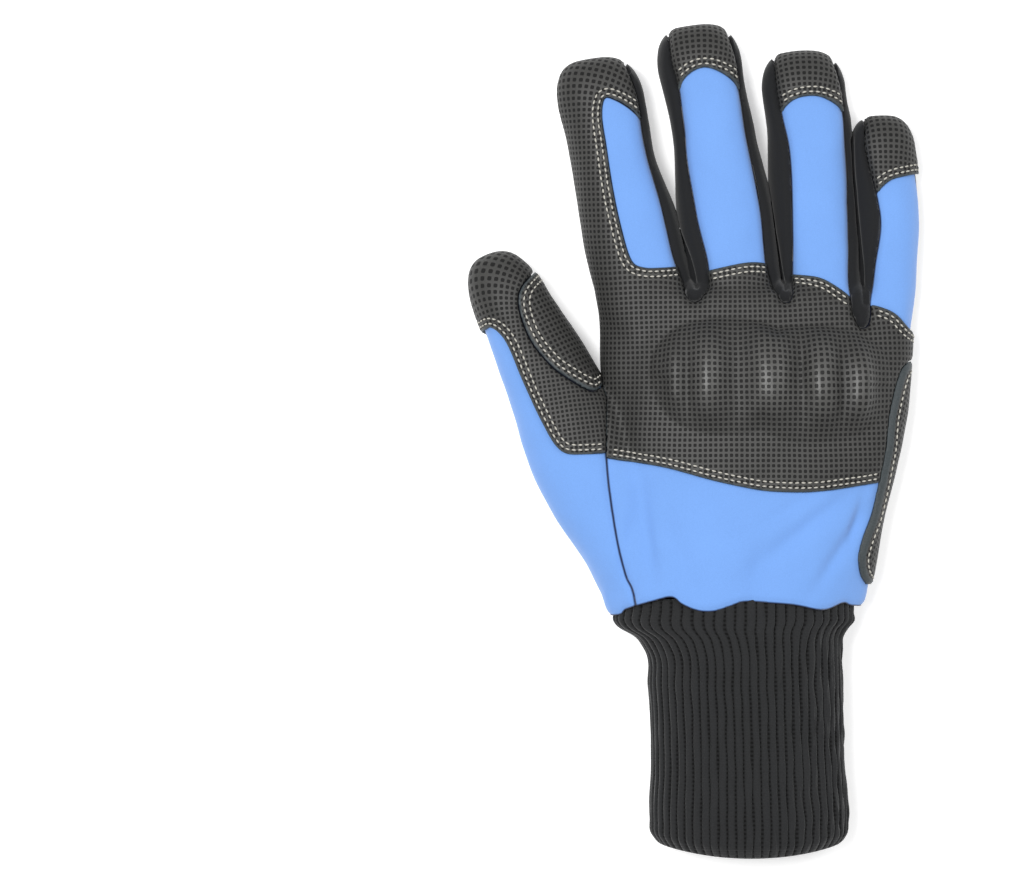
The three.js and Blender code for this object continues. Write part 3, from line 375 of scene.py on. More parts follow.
# Fabric: how far the strips stand out, and how deep and how wide the seams are drawn in
STRIP_PUFF = 1.45 * MM
STRIP_RISE = 0.6 * MM
STRIP_PINCH = 0.5 * MM
STRIP_SEAM = 0.3 * MM
STRIP_SEAM_HALF = 0.9 * MM
TIP_PUFF = 1.0 * MM
TIPS_FROM = 0.135
TIPS_RUN = 0.02
CREASE_DEPTH = 1.8 * MM
CREASE_HALF = 0.9 * MM
SEAM_PINCH = 0.8 * MM
SEAM_PINCH_HALF = 1.3 * MM

# Leather: what is left free between two pieces, and how deep and how wide edges, stitches and lines sink in
GAP = 0.35 * MM
EDGE_SINK = 0.55 * MM
EDGE_SINK_HALF = 0.5 * MM
LEATHER_PUFF = 0.28 * MM
LEATHER_PUFF_RUN = 3 * MM
SIDE_PINCH = 0.8 * MM
SIDE_PINCH_HALF = 1.2 * MM
STITCH_SINK = 0.22 * MM
STITCH_SINK_HALF = 0.55 * MM
LINE_SINK = 0.25 * MM
LINE_SINK_HALF = 0.7 * MM
LINE_ROW = 0.9 * MM
SEWN_INSIDE = 1.1 * MM
LINE_INSIDE = 1.5 * MM
TURNED_EDGE = 1.1 * MM
# Powers of the moulded pad: round a dome's sides, its upper and lower end, and a ridge's end
DOME_SIDE = 2.4
DOME_ABOVE = 2.6
DOME_BELOW = 2.0
STEEP_ABOVE = 0.62
SOFT_BELOW = 0.9
RIDGE_END = 3.0
DOME_SHARE = 0.8
RIDGES_RISE = 3

# Stitches: smoothing of a row, fewest points, the turn of each and how far it stands out
ROW_SMOOTHING = 6
FEWEST_POINTS = 4
CLOSED_FROM = 8
STITCH_TURN = 0.09
STITCH_OUT = 0.12

# Patterns of the materials
# Navy along the blue fabric's seams: partly the seam's dark edge, partly painted shade in the seam's hollow
SEAM_EDGE_AND_SHADE = (0.006, 0.012, 0.05)
# Painted shade: near-black blue for fabric under the leather, seen in the gaps between pieces
SHADE_UNDER_LEATHER = (0.004, 0.006, 0.016)
PRINT_GROUND = (0.030, 0.032, 0.036)
# Painted shade: near black in the gaps between the cuff's ribs
GROOVE_SHADE = (0.0004, 0.0004, 0.0004)
PRINT_PITCH = 3.55 * MM
PRINT_FROM = 0.1707
PRINT_TO = 0.0408
PRINT_SOFT = 0.1 * MM
DOT_PITCH = 1.85 * MM
DOT_ROUND = 0.16
WARP_SCALE = 60
WARP_DEPTH = 0.7 * MM
BRIDGE_PITCH = 1.5 * MM
LOOP_PITCH = 0.9 * MM

# Cuff: steps round each rib, down the outside, round the hem and up the inside
CUFF_ROUND = 8
CUFF_STEPS = 110
HEM_DEGREES = (10, 170)
HEM_STEPS = 12
CUFF_INSIDE = 26
CUFF_MERGE = 0.002 * MM
ANGLE_STEPS = 4001
CUFF_MIDDLE = 0.45
STRAIGHT_FROM = 0.20
SIDE_SHARE = 2.4
WANDER = 0.5 * MM
WANDER_OUT = 0.6
WANDER_GRAIN = (0.35, 9, 3.0)
GATHERED_AT = 0.05
GATHERED_HALF = 0.045
GATHERED_GRAIN = (0.055, 4, 8.0)

# Stage
FLOOR_SIZE = 3.0
FLOOR_GLOW = 0.40
SKY_LIGHT = 0.42
LIGHTS = (("key", (-0.42, 0.12, 1.30), 0.50, 15.0), ("fill", (0.75, 0.25, 1.10), 0.8, 6.0))
LENS = 200.0
CAMERA_AT = (-0.0632, -0.0010, 1.997)
CAMERA_END = 10
WHITE = (1, 1, 1, 1)


class PlanFrame:
    """A place on the plan with a direction of its own, as a finger has."""

    def __init__(self, x, y, lean, long, reach):
        angle = math.radians(lean)
        self.origin = np.array((x, y))
        self.ahead = np.array((-math.sin(angle), math.cos(angle)))
        self.aside = np.array((math.cos(angle), math.sin(angle)))
        self.length = long
        self.reach = reach

    def point(self, side, ahead):
        return self.origin + self.aside * side + self.ahead * ahead

    def place(self, rows):
        return np.array([self.point(a * self.reach, u * self.length) for a, u in rows])


def plan_frames(sizes):
    wide, long = sizes.palm_width, sizes.palm_length
    return {
        "H": PlanFrame(0, 0, 0, long, wide),
        "I": PlanFrame(-0.285 * wide, long, 10.6, sizes.index_length, sizes.index_width / 2),
        "M": PlanFrame(0.016 * wide, long, 8.9, sizes.middle_length, sizes.middle_width / 2),
        "R": PlanFrame(0.286 * wide, long, 4.8, sizes.ring_length, sizes.ring_width / 2),
        "L": PlanFrame(0.485 * wide, long, 2.7, sizes.little_length, sizes.little_width / 2),
        "T": PlanFrame(-0.297 * wide, 0.082 * long, 22.8, sizes.thumb_length, sizes.thumb_width / 2),
    }


def curve(points):
    """A smooth line through the points."""
    points = np.asarray(points, float)
    if len(points) < 3:
        return points
    ends = np.vstack((2 * points[0] - points[1], points, 2 * points[-1] - points[-2]))
    t = np.linspace(0, 1, CURVE_STEPS, endpoint=False)[:, None]
    runs = [
        0.5 * (2 * b + (c - a) * t + (2 * a - 5 * b + 4 * c - d) * t**2 + (3 * b - a - 3 * c + d) * t**3)
        for a, b, c, d in zip(ends, ends[1:], ends[2:], ends[3:])
    ]
    return np.vstack((*runs, points[-1:]))


def nearest(line, xy):
    """Distance from each point to the line."""
    best = np.full(len(xy), np.inf)
    for a, b in zip(line, line[1:]):
        step = b - a
        size = step @ step
        if size < SHORTEST:
            continue
        t = np.clip(((xy - a) @ step) / size, 0, 1)
        off = xy - a - t[:, None] * step
        best = np.minimum(best, off[:, 0] ** 2 + off[:, 1] ** 2)
    return np.sqrt(best)


def is_inside(line, xy):
    """Whether each point lies inside the closed line."""
    inside = np.zeros(len(xy), bool)
    for (x0, y0), (x1, y1) in zip(line, np.roll(line, -1, axis=0)):
        if y0 == y1:
            continue
        crosses = (y0 > xy[:, 1]) != (y1 > xy[:, 1])
        inside ^= crosses & (xy[:, 0] < (x1 - x0) * (xy[:, 1] - y0) / (y1 - y0) + x0)
    return inside


def signed(line, xy):
    """Distance to the closed line, less than nought inside it, and FAR well outside it."""
    low, high = line.min(0) - FAR, line.max(0) + FAR
    near = np.all((xy > low) & (xy < high), axis=1)
    value = np.full(len(xy), FAR)
    loop = np.vstack((line, line[:1]))
    value[near] = nearest(loop, xy[near]) * np.where(is_inside(line, xy[near]), -1, 1)
    return value


def column(rows, index, at):
    """The smooth value of a table's column at a share of the length."""
    x = np.array([row[0] for row in rows])
    y = np.array([row[index] for row in rows])
    slope = np.gradient(y, x)
    i = np.clip(np.searchsorted(x, at) - 1, 0, len(x) - 2)
    span = x[i + 1] - x[i]
    t = (at - x[i]) / span
    return (
        (1 + 2 * t) * (1 - t) ** 2 * y[i] + t * (1 - t) ** 2 * span * slope[i]
        + t * t * (3 - 2 * t) * y[i + 1] + t * t * (t - 1) * span * slope[i + 1]
    )


def bell(distance, half):
    """1 at no distance, and falling off softly over about half."""
    return np.exp(-((distance / half) ** 2))


def power(value, square):
    return np.sign(value) * np.abs(value) ** (2 / square)


def ring_points(left, right, bottom, top, angle):
    """Points of an upright section: round above and flattened below."""
    widest = bottom + WIDEST * (top - bottom)
    above = np.sin(angle) >= 0
    square = np.where(above, ROUND_ABOVE, SQUARE_BELOW)
    height = np.where(above, top - widest, SINK * (widest - bottom))
    side = (left + right) / 2 - (right - left) / 2 * power(np.cos(angle), square)
    return side, np.maximum(widest + height * power(np.sin(angle), square), bottom)


def bend_palm(x, y, z, angle, sizes):
    """Gathers the palm towards the wrist seam."""
    fade = np.clip(1 - y / (GATHER_REACH * sizes.palm_length), 0, 1) ** 2
    gather = GATHER_DEPTH * fade * np.cos(GATHERS * angle)
    out = np.array((x / 2, z - sizes.palm_depth / 2))
    out /= np.linalg.norm(out)
    lift = gather * out[1] if math.sin(angle) > UPPER_SIDE else 0
    return x + gather * out[0], y, z + lift


def add_tube(bm, plan, rows, depth, sizes, tip, blunt, reach=1.0, palm=False):
    """Bends a grid into a closed tube through the rows, with a rounded end."""
    rise = sizes.leather + sizes.clearance
    start, last = rows[0][0], rows[-1][0]
    shares = [(u, 0.0) for u in np.linspace(start, last, TUBE_STEPS)]
    shares += [(last, a) for a in np.radians(np.linspace(*END_DEGREES, END_STEPS))]
    grid = bmesh.ops.create_grid(bm, x_segments=RING_POINTS, y_segments=len(shares) - 1, size=1)["verts"]
    for vert in grid:
        up, turn = shares[round((vert.co.y + 1) / 2 * (len(shares) - 1))]
        angle = (vert.co.x + 1) * math.pi
        left, right, deep, rest = (float(column(rows, i, up)) for i in (1, 2, 3, 4))
        bottom, top = rest * rise, rest * rise + deep * depth
        share = math.cos(turn) ** blunt
        middle = (left + right) / 2 if tip is None else tip
        level = bottom + WIDEST * (top - bottom)
        side, z = map(float, ring_points(
            (middle + (left - middle) * share) * plan.reach, (middle + (right - middle) * share) * plan.reach,
            level + (bottom - level) * share, level + (top - level) * share, np.array(angle),
        ))
        x, y = plan.point(side, (up + (reach - last) * math.sin(turn)) * plan.length)
        if palm:
            x, y, z = bend_palm(x, y, z, angle, sizes)
        vert.co = (x, y, z)
    bmesh.ops.remove_doubles(bm, verts=grid, dist=MERGE)
    open_edges = [e for e in bm.edges if e.is_boundary]
    bmesh.ops.holes_fill(bm, edges=open_edges, sides=RING_POINTS + 2)


def new_object(name, bm):
    """An object with the bmesh as its mesh; the bmesh itself is freed."""
    mesh = bpy.data.meshes.new(name)
    bm.to_mesh(mesh)
    bm.free()
    obj = bpy.data.objects.new(name, mesh)
    bpy.context.scene.collection.objects.link(obj)
    return obj


def finished_mesh(obj, name):
    """The object's mesh with its modifiers applied; the object itself is removed."""
    graph = bpy.context.evaluated_depsgraph_get()
    mesh = bpy.data.meshes.new_from_object(obj.evaluated_get(graph), depsgraph=graph)
    mesh.name = name
    old = obj.data
    bpy.data.objects.remove(obj)
    bpy.data.meshes.remove(old)
    return mesh


def read(mesh, name):
    """The places (co) or the normals of the mesh's points."""
    values = np.zeros(len(mesh.vertices) * 3, np.float32)
    if name == "co":
        mesh.vertices.foreach_get("co", values)
    else:
        mesh.vertex_normals.foreach_get("vector", values)
    return values.reshape(-1, 3).astype(float)


def write(mesh, co):
    mesh.vertices.foreach_set("co", co.astype(np.float32).ravel())
    mesh.update()


def set_values(mesh, name, values):
    layer = mesh.attributes.get(name) or mesh.attributes.new(name, "FLOAT", "POINT")
    layer.data.foreach_set("value", values.astype(np.float32))


def cloth_noise(co, scale, seed):
    shift = Vector((seed, seed * 1.7, seed * 0.3))
    return np.array([noise.noise(Vector(p) * scale + shift) for p in co])


def even_normals(mesh, times=9):
    """Normals evened out over their neighbours, so that sheets pushed outwards don't cross in hollows."""
    ends = np.zeros(len(mesh.edges) * 2, np.int32)
    mesh.edges.foreach_get("vertices", ends)
    a, b = ends.reshape(-1, 2).T
    normal = read(mesh, "normal")
    count = len(normal)
    for _ in range(times):
        total = normal.copy()
        for k in range(3):
            total[:, k] += np.bincount(a, normal[b, k], count) + np.bincount(b, normal[a, k], count)
        normal = total / np.linalg.norm(total, axis=1, keepdims=True)
    return normal


class Cloth:
    """The surface of the whole glove and how far each of its points is from the seams."""

    def __init__(self, mesh, sizes):
        self.mesh = mesh
        self.sizes = sizes
        self.frames = plan_frames(sizes)
        self.flat = read(mesh, "co")
        self.xy = self.flat[:, :2]
        self.z = self.flat[:, 2]
        self.fields = {}
        self.normal = read(mesh, "normal")
        self.co = self.flat + self.normal * self.folds()[:, None]
        write(mesh, self.co)
        self.normal = even_normals(mesh)

    def folds(self):
        """Soft folds of the back of the hand and a little unevenness everywhere."""
        long, wide = self.sizes.palm_length, self.sizes.palm_width
        depth = np.zeros(len(self.z))
        for across, up, half, run, turn, deep in FOLDS:
            angle = math.radians(turn)
            x, y = self.xy[:, 0] - across * wide, self.xy[:, 1] - up * long
            u = (x * math.cos(angle) - y * math.sin(angle)) / (half * long)
            v = (x * math.sin(angle) + y * math.cos(angle)) / (run * long)
            depth -= deep * MM * np.exp(-u * u - v * v)
        depth *= np.clip((self.z - FOLDS_FROM) / FOLDS_RUN, 0, 1)
        lift = np.clip((self.z - UNEVEN_FROM) / UNEVEN_RUN, 0, 1)
        for deep, scale, stretch, seed in UNEVEN:
            depth += lift * deep * cloth_noise(self.flat * stretch, scale, seed)
        return depth

    def line(self, edge):
        name, rows = edge
        return curve(self.frames[name].place(rows))

    def region(self, name, *edges):
        """Distance to the outline that the edges make, worked out once for each name."""
        if name not in self.fields:
            self.fields[name] = signed(np.vstack([self.line(edge) for edge in edges]), self.xy)
        return self.fields[name]

    def near_lines(self, edges):
        """Distance to the nearest of the lines, and FAR beyond it."""
        value = np.full(len(self.z), FAR)
        for edge in edges:
            value = np.minimum(value, nearest(self.line(edge), self.xy))
        return value

    def above(self):
        """Less than nought above the seam round the sides."""
        return self.sizes.seam_height - self.z

    def both_sides(self, over, under):
        """One field above the seam round the sides and another under it."""
        return np.minimum(np.maximum(self.above(), over), np.maximum(-self.above(), under))

    def near_sides(self, over, under):
        """Distance to some lines above the seam round the sides and to others under it."""
        return np.where(self.above() < 0, self.near_lines(over), self.near_lines(under))

    def past_wrist(self):
        """More than nought on the cuff's side of the wrist seam."""
        wave = self.line(WRIST_WAVE)
        return np.interp(self.xy[:, 0], wave[:, 0], wave[:, 1]) - self.xy[:, 1]

    def strip(self, pair):
        """Distance to the outline of the strip between two fingers."""
        up, down = STRIP_SEAMS[pair]
        if pair not in self.fields:
            end = self.line(("H", STRIP_TIPS[pair]))
            line = np.vstack((self.line(SEAMS[up]), self.line(SEAMS[down])[::-1], end))
            self.fields[pair] = signed(line, self.xy)
        return self.fields[pair]

    def strips(self):
        return np.minimum.reduce([self.strip(pair) for pair in STRIP_TIPS])


# What one step hands on to the next: the cloth and the materials
shared = {}


def cut_sheet(cloth, co, field, extra=None):
    """The part of the glove's surface where the field is under nought, cut cleanly along its edge."""
    mesh = cloth.mesh.copy()
    write(mesh, co)
    set_values(mesh, "inside", -field)
    for name, values in (extra or {}).items():
        set_values(mesh, name, values)
    bm = bmesh.new()
    bm.from_mesh(mesh)
    bpy.data.meshes.remove(mesh)
    layer = bm.verts.layers.float["inside"]
    out = [f for f in bm.faces if max(v[layer] for v in f.verts) <= 0]
    bmesh.ops.delete(bm, geom=out, context="FACES")
    crossed = {}
    for edge in bm.edges:
        a, b = (v[layer] for v in edge.verts)
        if (a > 0) != (b > 0):
            crossed[edge] = min(1 - CUT_MARGIN, max(CUT_MARGIN, a / (a - b)))
    cut = bmesh.ops.bisect_edges(bm, edges=list(crossed), cuts=1, edge_percents=crossed)
    rim = [v for v in cut["geom_split"] if isinstance(v, bmesh.types.BMVert)]
    bmesh.ops.connect_verts(bm, verts=rim)
    on_rim = set(rim)
    out = [f for f in bm.faces if sum(v[layer] for v in f.verts if v not in on_rim) <= 0]
    bmesh.ops.delete(bm, geom=out, context="FACES")
    for vert in rim:
        if vert.is_valid:
            vert[layer] = 0
    drop_crumbs(bm)
    bm.normal_update()
    return bm


def drop_crumbs(bm):
    """Removes loose bits of few faces."""
    seen = set()
    crumbs = []
    for face in bm.faces:
        if face in seen:
            continue
        seen.add(face)
        island, stack = [], [face]
        while stack:
            here = stack.pop()
            island.append(here)
            for edge in here.edges:
                for other in edge.link_faces:
                    if other not in seen:
                        seen.add(other)
                        stack.append(other)
        if len(island) < CRUMB_FACES:
            crumbs += island
    if crumbs:
        bmesh.ops.delete(bm, geom=crumbs, context="FACES")
    bare = [v for v in bm.verts if not v.link_faces]
    bmesh.ops.delete(bm, geom=bare, context="VERTS")


def dress(obj, material, node, rim=None):
    """Gives a finished piece its materials and its place in the frame."""
    obj.data.transform(Matrix.Translation(Vector(PLACE)))
    for vert in obj.data.vertices:
        vert.co.z = max(vert.co.z, GROUND)
    for face in obj.data.polygons:
        face.use_smooth = True
    obj.data.materials.append(material)
    if rim:
        obj.data.materials.append(rim)
    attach(obj, BODY)
    if node:
        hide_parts(node)


def thicken(obj, thickness, rim=False):
    """Gives the sheet a wall on its inner side, with a material of its own on the cut edge if rim."""
    wall = obj.modifiers.new("Thickness", "SOLIDIFY")
    wall.thickness = thickness
    wall.offset = -1
    wall.use_even_offset = False
    wall.use_quality_normals = True
    if rim:
        wall.material_offset_rim = 1


class Finish:
    """A material built up node by node."""

    def __init__(self, name):
        self.material = bpy.data.materials.new(name)
        self.material.use_nodes = True
        self.tree = self.material.node_tree
        self.shader = self.tree.nodes["Principled BSDF"]

    def node(self, kind, **settings):
        node = self.tree.nodes.new("ShaderNode" + kind)
        for name, value in settings.items():
            setattr(node, name, value)
        return node

    def link(self, value, socket):
        if isinstance(value, bpy.types.NodeSocket):
            self.tree.links.new(value, socket)
        else:
            socket.default_value = value

    def math(self, operation, a, b=0.0):
        node = self.node("Math", operation=operation)
        self.link(a, node.inputs[0])
        self.link(b, node.inputs[1])
        return node.outputs[0]

    def ramp(self, value, low, high):
        """0 below low and 1 above high, with a soft step between them."""
        node = self.node("MapRange", interpolation_type="SMOOTHSTEP")
        self.link(value, node.inputs["Value"])
        node.inputs["From Min"].default_value = low
        node.inputs["From Max"].default_value = high
        return node.outputs["Result"]

    def mix(self, share, a, b):
        node = self.node("Mix", data_type="RGBA")
        self.link(share, node.inputs["Factor"])
        for value, socket in ((a, node.inputs["A"]), (b, node.inputs["B"])):
            self.link((*value, 1.0) if isinstance(value, (tuple, list)) else value, socket)
        return node.outputs["Result"]

    def wave(self, value):
        """How far the value is from the middle between two whole numbers, from 0 to 0.5."""
        return self.math("ABSOLUTE", self.math("SUBTRACT", self.math("FRACT", value), 0.5))

    def tones(self, share, colour, low, high):
        """A darker and a lighter tone of the colour, mixed by the share."""
        return self.mix(share, tone(colour, low), tone(colour, high))

    def noise(self, place, scale, detail):
        node = self.node("TexNoise")
        self.tree.links.new(place, node.inputs["Vector"])
        node.inputs["Scale"].default_value = scale
        node.inputs["Detail"].default_value = detail
        return node.outputs["Fac"]

    def place(self, kind="Object"):
        return self.node("TexCoord").outputs[kind]

    def attribute(self, name):
        return self.node("Attribute", attribute_name=name).outputs["Fac"]

    def parts(self, vector):
        node = self.node("SeparateXYZ")
        self.tree.links.new(vector, node.inputs[0])
        return node.outputs

    def bump(self, height, depth, strength):
        node = self.node("Bump")
        self.link(height, node.inputs["Height"])
        node.inputs["Distance"].default_value = depth
        node.inputs["Strength"].default_value = strength
        self.tree.links.new(node.outputs["Normal"], self.shader.inputs["Normal"])

    def surface(self, colour, roughness, specular, sheen=0.0):
        self.link(colour, self.shader.inputs["Base Color"])
        self.link(roughness, self.shader.inputs["Roughness"])
        self.shader.inputs["Specular IOR Level"].default_value = specular
        if sheen:
            self.shader.inputs["Sheen Weight"].default_value = sheen
            self.shader.inputs["Sheen Roughness"].default_value = 0.5


def tone(colour, share):
    return tuple(min(1.0, c * share) for c in colour)


def blue_cloth(colours):
    """Soft brushed stretch fabric, with a dark line along its seams: partly the seam's own dark edge, partly painted
    shade in the drawn-in seam.
    """
    finish = Finish("blue_fabric")
    place = finish.place()
    blue = tuple(colours.blue)
    fine = finish.noise(place, 2600, 3.0)
    broad = finish.noise(place, 45, 2.0)
    cloth = finish.mix(0.45, finish.tones(fine, blue, 0.78, 1.16), finish.tones(broad, blue, 0.88, 1.09))
    # Near the panel's edge the blue turns navy: partly the seam's dark edge, partly painted shade where the seam is
    # drawn in
    seam = finish.ramp(finish.attribute("inside"), 0.05 * MM, 0.75 * MM)
    # Fabric lying under leather is painted near black, as painted shade that shows in the gaps between pieces
    covered = finish.ramp(finish.attribute("covered"), -0.10 * MM, 0.35 * MM)
    cloth = finish.mix(covered, finish.mix(seam, SEAM_EDGE_AND_SHADE, cloth), SHADE_UNDER_LEATHER)
    finish.surface(cloth, 0.88, 0.25, 0.25)
    finish.bump(finish.math("ADD", fine, finish.noise(place, 900, 2.0)), 0.06 * MM, 0.5)
    return finish.material


def black_cloth(colours, name="black_fabric"):
    """Matt stretch fabric; the one under the fingers carries silver stripes at their tips."""
    finish = Finish(name)
    place = finish.place()
    fine = finish.noise(place, 2400, 3.0)
    cloth = finish.tones(fine, colours.black, 0.7, 1.6)
    if name == "printed_fabric":
        x, y, _ = finish.parts(place)
        across = finish.math("MULTIPLY", finish.math("SUBTRACT", x, y), 1 / PRINT_PITCH)
        stripe = finish.ramp(finish.wave(across), 0.22, 0.28)
        start, end = PRINT_FROM + PLACE[1], PRINT_TO + PLACE[0]
        beyond = finish.ramp(y, start - PRINT_SOFT, start + PRINT_SOFT)
        beside = finish.ramp(x, end, end + PRINT_SOFT)
        where = finish.math("MULTIPLY", beyond, finish.math("SUBTRACT", 1.0, beside))
        mottle = finish.ramp(finish.noise(place, 1500, 2.0), 0.25, 0.55)
        share = finish.math("MULTIPLY", finish.math("MULTIPLY", where, stripe), mottle)
        ground = finish.mix(where, cloth, PRINT_GROUND)
        cloth = finish.mix(share, ground, tuple(colours.print))
    finish.surface(cloth, 0.82, 0.22, 0.20)
    finish.bump(finish.math("ADD", fine, finish.noise(place, 800, 2.0)), 0.07 * MM, 0.5)
    return finish.material


def dotted_leather(colours):
    """Matt leather with a raised lattice round small sunk squares; the pad's ridge tops are painted lighter, partly
    as wear and partly as painted highlight.
    """
    finish = Finish("leather")
    flat = finish.place("UV")
    place = finish.place()
    warp = finish.node("VectorMath", operation="SCALE")
    colour_noise = finish.node("TexNoise")
    finish.tree.links.new(place, colour_noise.inputs["Vector"])
    colour_noise.inputs["Scale"].default_value = WARP_SCALE
    finish.tree.links.new(colour_noise.outputs["Color"], warp.inputs[0])
    warp.inputs["Scale"].default_value = WARP_DEPTH
    moved = finish.node("VectorMath", operation="ADD")
    finish.tree.links.new(flat, moved.inputs[0])
    finish.tree.links.new(warp.outputs[0], moved.inputs[1])
    u, v, _ = finish.parts(moved.outputs[0])
    u, v = (finish.wave(finish.math("DIVIDE", a, DOT_PITCH)) for a in (u, v))
    square = finish.math("MULTIPLY", finish.math("MAXIMUM", u, v), 1 - DOT_ROUND)
    corners = finish.math("MULTIPLY", finish.math("ADD", u, v), DOT_ROUND)
    lattice = finish.ramp(finish.math("ADD", square, corners), 0.265, 0.335)
    border = finish.math("SUBTRACT", 1.0, finish.ramp(finish.attribute("sewn"), 0.45 * MM, 0.80 * MM))
    lattice = finish.math("MAXIMUM", lattice, border)
    grain = finish.noise(place, 1900, 3.0)
    broad = finish.noise(place, 55, 3.0)
    hide = tuple(colours.hide)
    raised = finish.mix(0.5, finish.tones(grain, hide, 0.55, 1.4), finish.tones(broad, hide, 0.7, 1.25))
    sunk = finish.tones(grain, colours.dots, 0.6, 1.5)
    edging = finish.tones(grain, colours.raw_edge, 0.35, 1.0)
    # Ridge tops of the pad: shinier from wear, and painted lighter, which is a painted highlight
    wear_and_highlight = finish.ramp(finish.attribute("wear_and_highlight"), 0.55, 1.15)
    raised = finish.mix(wear_and_highlight, raised, tone(hide, 1.5))
    rough = finish.math("ADD", 0.74, finish.math("MULTIPLY", lattice, -0.19))
    rough = finish.math("ADD", rough, finish.math("MULTIPLY", wear_and_highlight, -0.17))
    finish.surface(finish.mix(border, finish.mix(lattice, sunk, raised), edging), rough, 0.33)
    height = finish.math("ADD", lattice, finish.math("MULTIPLY", grain, 0.25))
    finish.bump(height, 0.22 * MM, 0.9)
    return finish.material


def raw_edge(colours):
    """The cut edge of the leather, lighter than its face."""
    finish = Finish("raw_edge")
    fine = finish.noise(finish.place(), 2200, 3.0)
    finish.surface(finish.tones(fine, colours.raw_edge, 0.4, 1.5), 0.85, 0.3)
    finish.bump(fine, 0.15 * MM, 0.8)
    return finish.material


def sewing_thread(colours):
    """Twisted cream thread."""
    finish = Finish("thread")
    fine = finish.noise(finish.place(), 1800, 2.0)
    finish.surface(finish.tones(fine, colours.thread, 0.45, 1.15), 0.7, 0.3)
    finish.bump(fine, 0.08 * MM, 0.7)
    return finish.material


def ribbed_knit(colours):
    """Knit with grooves painted in shade, which small threads bridge."""
    finish = Finish("knit")
    place = finish.place()
    _, y, _ = finish.parts(place)
    fine = finish.noise(place, 2000, 3.0)
    bridge = finish.ramp(finish.wave(finish.math("DIVIDE", y, BRIDGE_PITCH)), 0.18, 0.32)
    groove = finish.ramp(finish.attribute("groove"), 0.35, 0.75)
    # In the grooves the knit is painted darker, and near black between the bridging threads, as painted shade
    rib = finish.tones(fine, colours.knit, 0.65, 1.7)
    low = finish.mix(bridge, GROOVE_SHADE, tone(colours.knit, 0.7))
    finish.surface(finish.mix(groove, rib, low), 0.9, 0.25, 0.15)
    loops = finish.math("ABSOLUTE", finish.math("SINE", finish.math("MULTIPLY", y, math.pi / LOOP_PITCH)))
    height = finish.math("ADD", finish.math("MULTIPLY", loops, 0.45), finish.math("MULTIPLY", fine, 0.5))
    finish.bump(finish.math("ADD", height, finish.math("MULTIPLY", bridge, groove)), 0.16 * MM, 0.7)
    return finish.material


def materials():
    """The materials by name, made once."""
    colours = bpy.context.scene.glove_colours
    if "materials" not in shared:
        shared["materials"] = {
            "blue": blue_cloth(colours),
            "black": black_cloth(colours),
            "printed": black_cloth(colours, "printed_fabric"),
            "leather": dotted_leather(colours),
            "raw": raw_edge(colours),
            "thread": sewing_thread(colours),
            "knit": ribbed_knit(colours),
        }
    return shared["materials"]


class GLOVE_OT_form(bpy.types.Operator):
    """Shape the smooth surface that every piece of the glove is cut from"""

    bl_idname = "glove.form"
    bl_label = "Form"

    def execute(self, context):
        sizes = context.scene.glove_sizes
        plans = plan_frames(sizes)
        bm = bmesh.new()
        add_tube(bm, plans["H"], PALM_ROWS, sizes.palm_depth, sizes, None, PALM_ROUND, PALM_REACH, palm=True)
        for name, rows, tip, blunt in FINGERS:
            depth = sizes.thumb_depth if name == "T" else sizes.finger_depth
            add_tube(bm, plans[name], rows, depth, sizes, tip, blunt)
        bmesh.ops.recalc_face_normals(bm, faces=bm.faces)
        obj = new_object("tubes", bm)
        remesh = obj.modifiers.new("Remesh", "REMESH")
        remesh.mode = "VOXEL"
        remesh.voxel_size = sizes.fineness * 1
        skin = finished_mesh(obj, "glove_cloth")
        bm = bmesh.new()
        bm.from_mesh(skin)
        self.smooth(bm, bm.verts, SKIN_SMOOTHING)
        for low, high, times in ROOTS:
            root = [v for v in bm.verts if all(a < at < b for a, at, b in zip(low, v.co, high))]
            self.smooth(bm, root, times)
        self.smooth(bm, bm.verts, LAST_SMOOTHING)
        bm.to_mesh(skin)
        bm.free()
        shared["cloth"] = Cloth(skin, sizes)
        return {"FINISHED"}

    @staticmethod
    def smooth(bm, verts, times):
        for _ in range(times):
            bmesh.ops.smooth_vert(
                bm, verts=list(verts), factor=0.5, use_axis_x=True, use_axis_y=True, use_axis_z=True,
            )


def covered(cloth):
    """How far each point of the back lies under leather; the blue fabric there is painted in shade."""
    plan = leather_fields(cloth)
    over = np.minimum.reduce((
        np.maximum(plan["guard"], -plan["insert"]), plan["cap"], plan["patch"], plan["edge"],
        *(cloth.region(name, *edges) for name, edges in CAP_SIDES.items()),
    ))
    return -np.maximum(over, cloth.above())


def fabric_piece(name, node, field, material, strip=None):
    """A panel of fabric, drawn in along its seams."""
    cloth = shared["cloth"]
    field = np.maximum(field, cloth.past_wrist())
    depth = np.clip(-field, 0, None)
    if strip:
        side = np.clip(-cloth.strip(strip), 0, None)
        shape = STRIP_PUFF * (1 - np.exp(-side / STRIP_RISE)) - STRIP_PINCH * bell(side, STRIP_RISE)
        shape -= STRIP_SEAM * bell(depth, STRIP_SEAM_HALF)
        tip = np.clip((cloth.co[:, 1] - TIPS_FROM) / TIPS_RUN, 0, 1) * np.clip(2 * cloth.normal[:, 1], 0, 1)
        shape += (TIP_PUFF - shape) * tip
        shape -= CREASE_DEPTH * bell(cloth.near_lines((CREASES[strip],)), CREASE_HALF)
    else:
        shape = -SEAM_PINCH * bell(depth, SEAM_PINCH_HALF)
    # Each panel carries its depth under leather, for the painted shade there
    bm = cut_sheet(cloth, cloth.co + cloth.normal * shape[:, None], field, {"covered": covered(cloth)})
    obj = new_object(name, bm)
    thicken(obj, cloth.sizes.fabric)
    dress(obj, material, node)


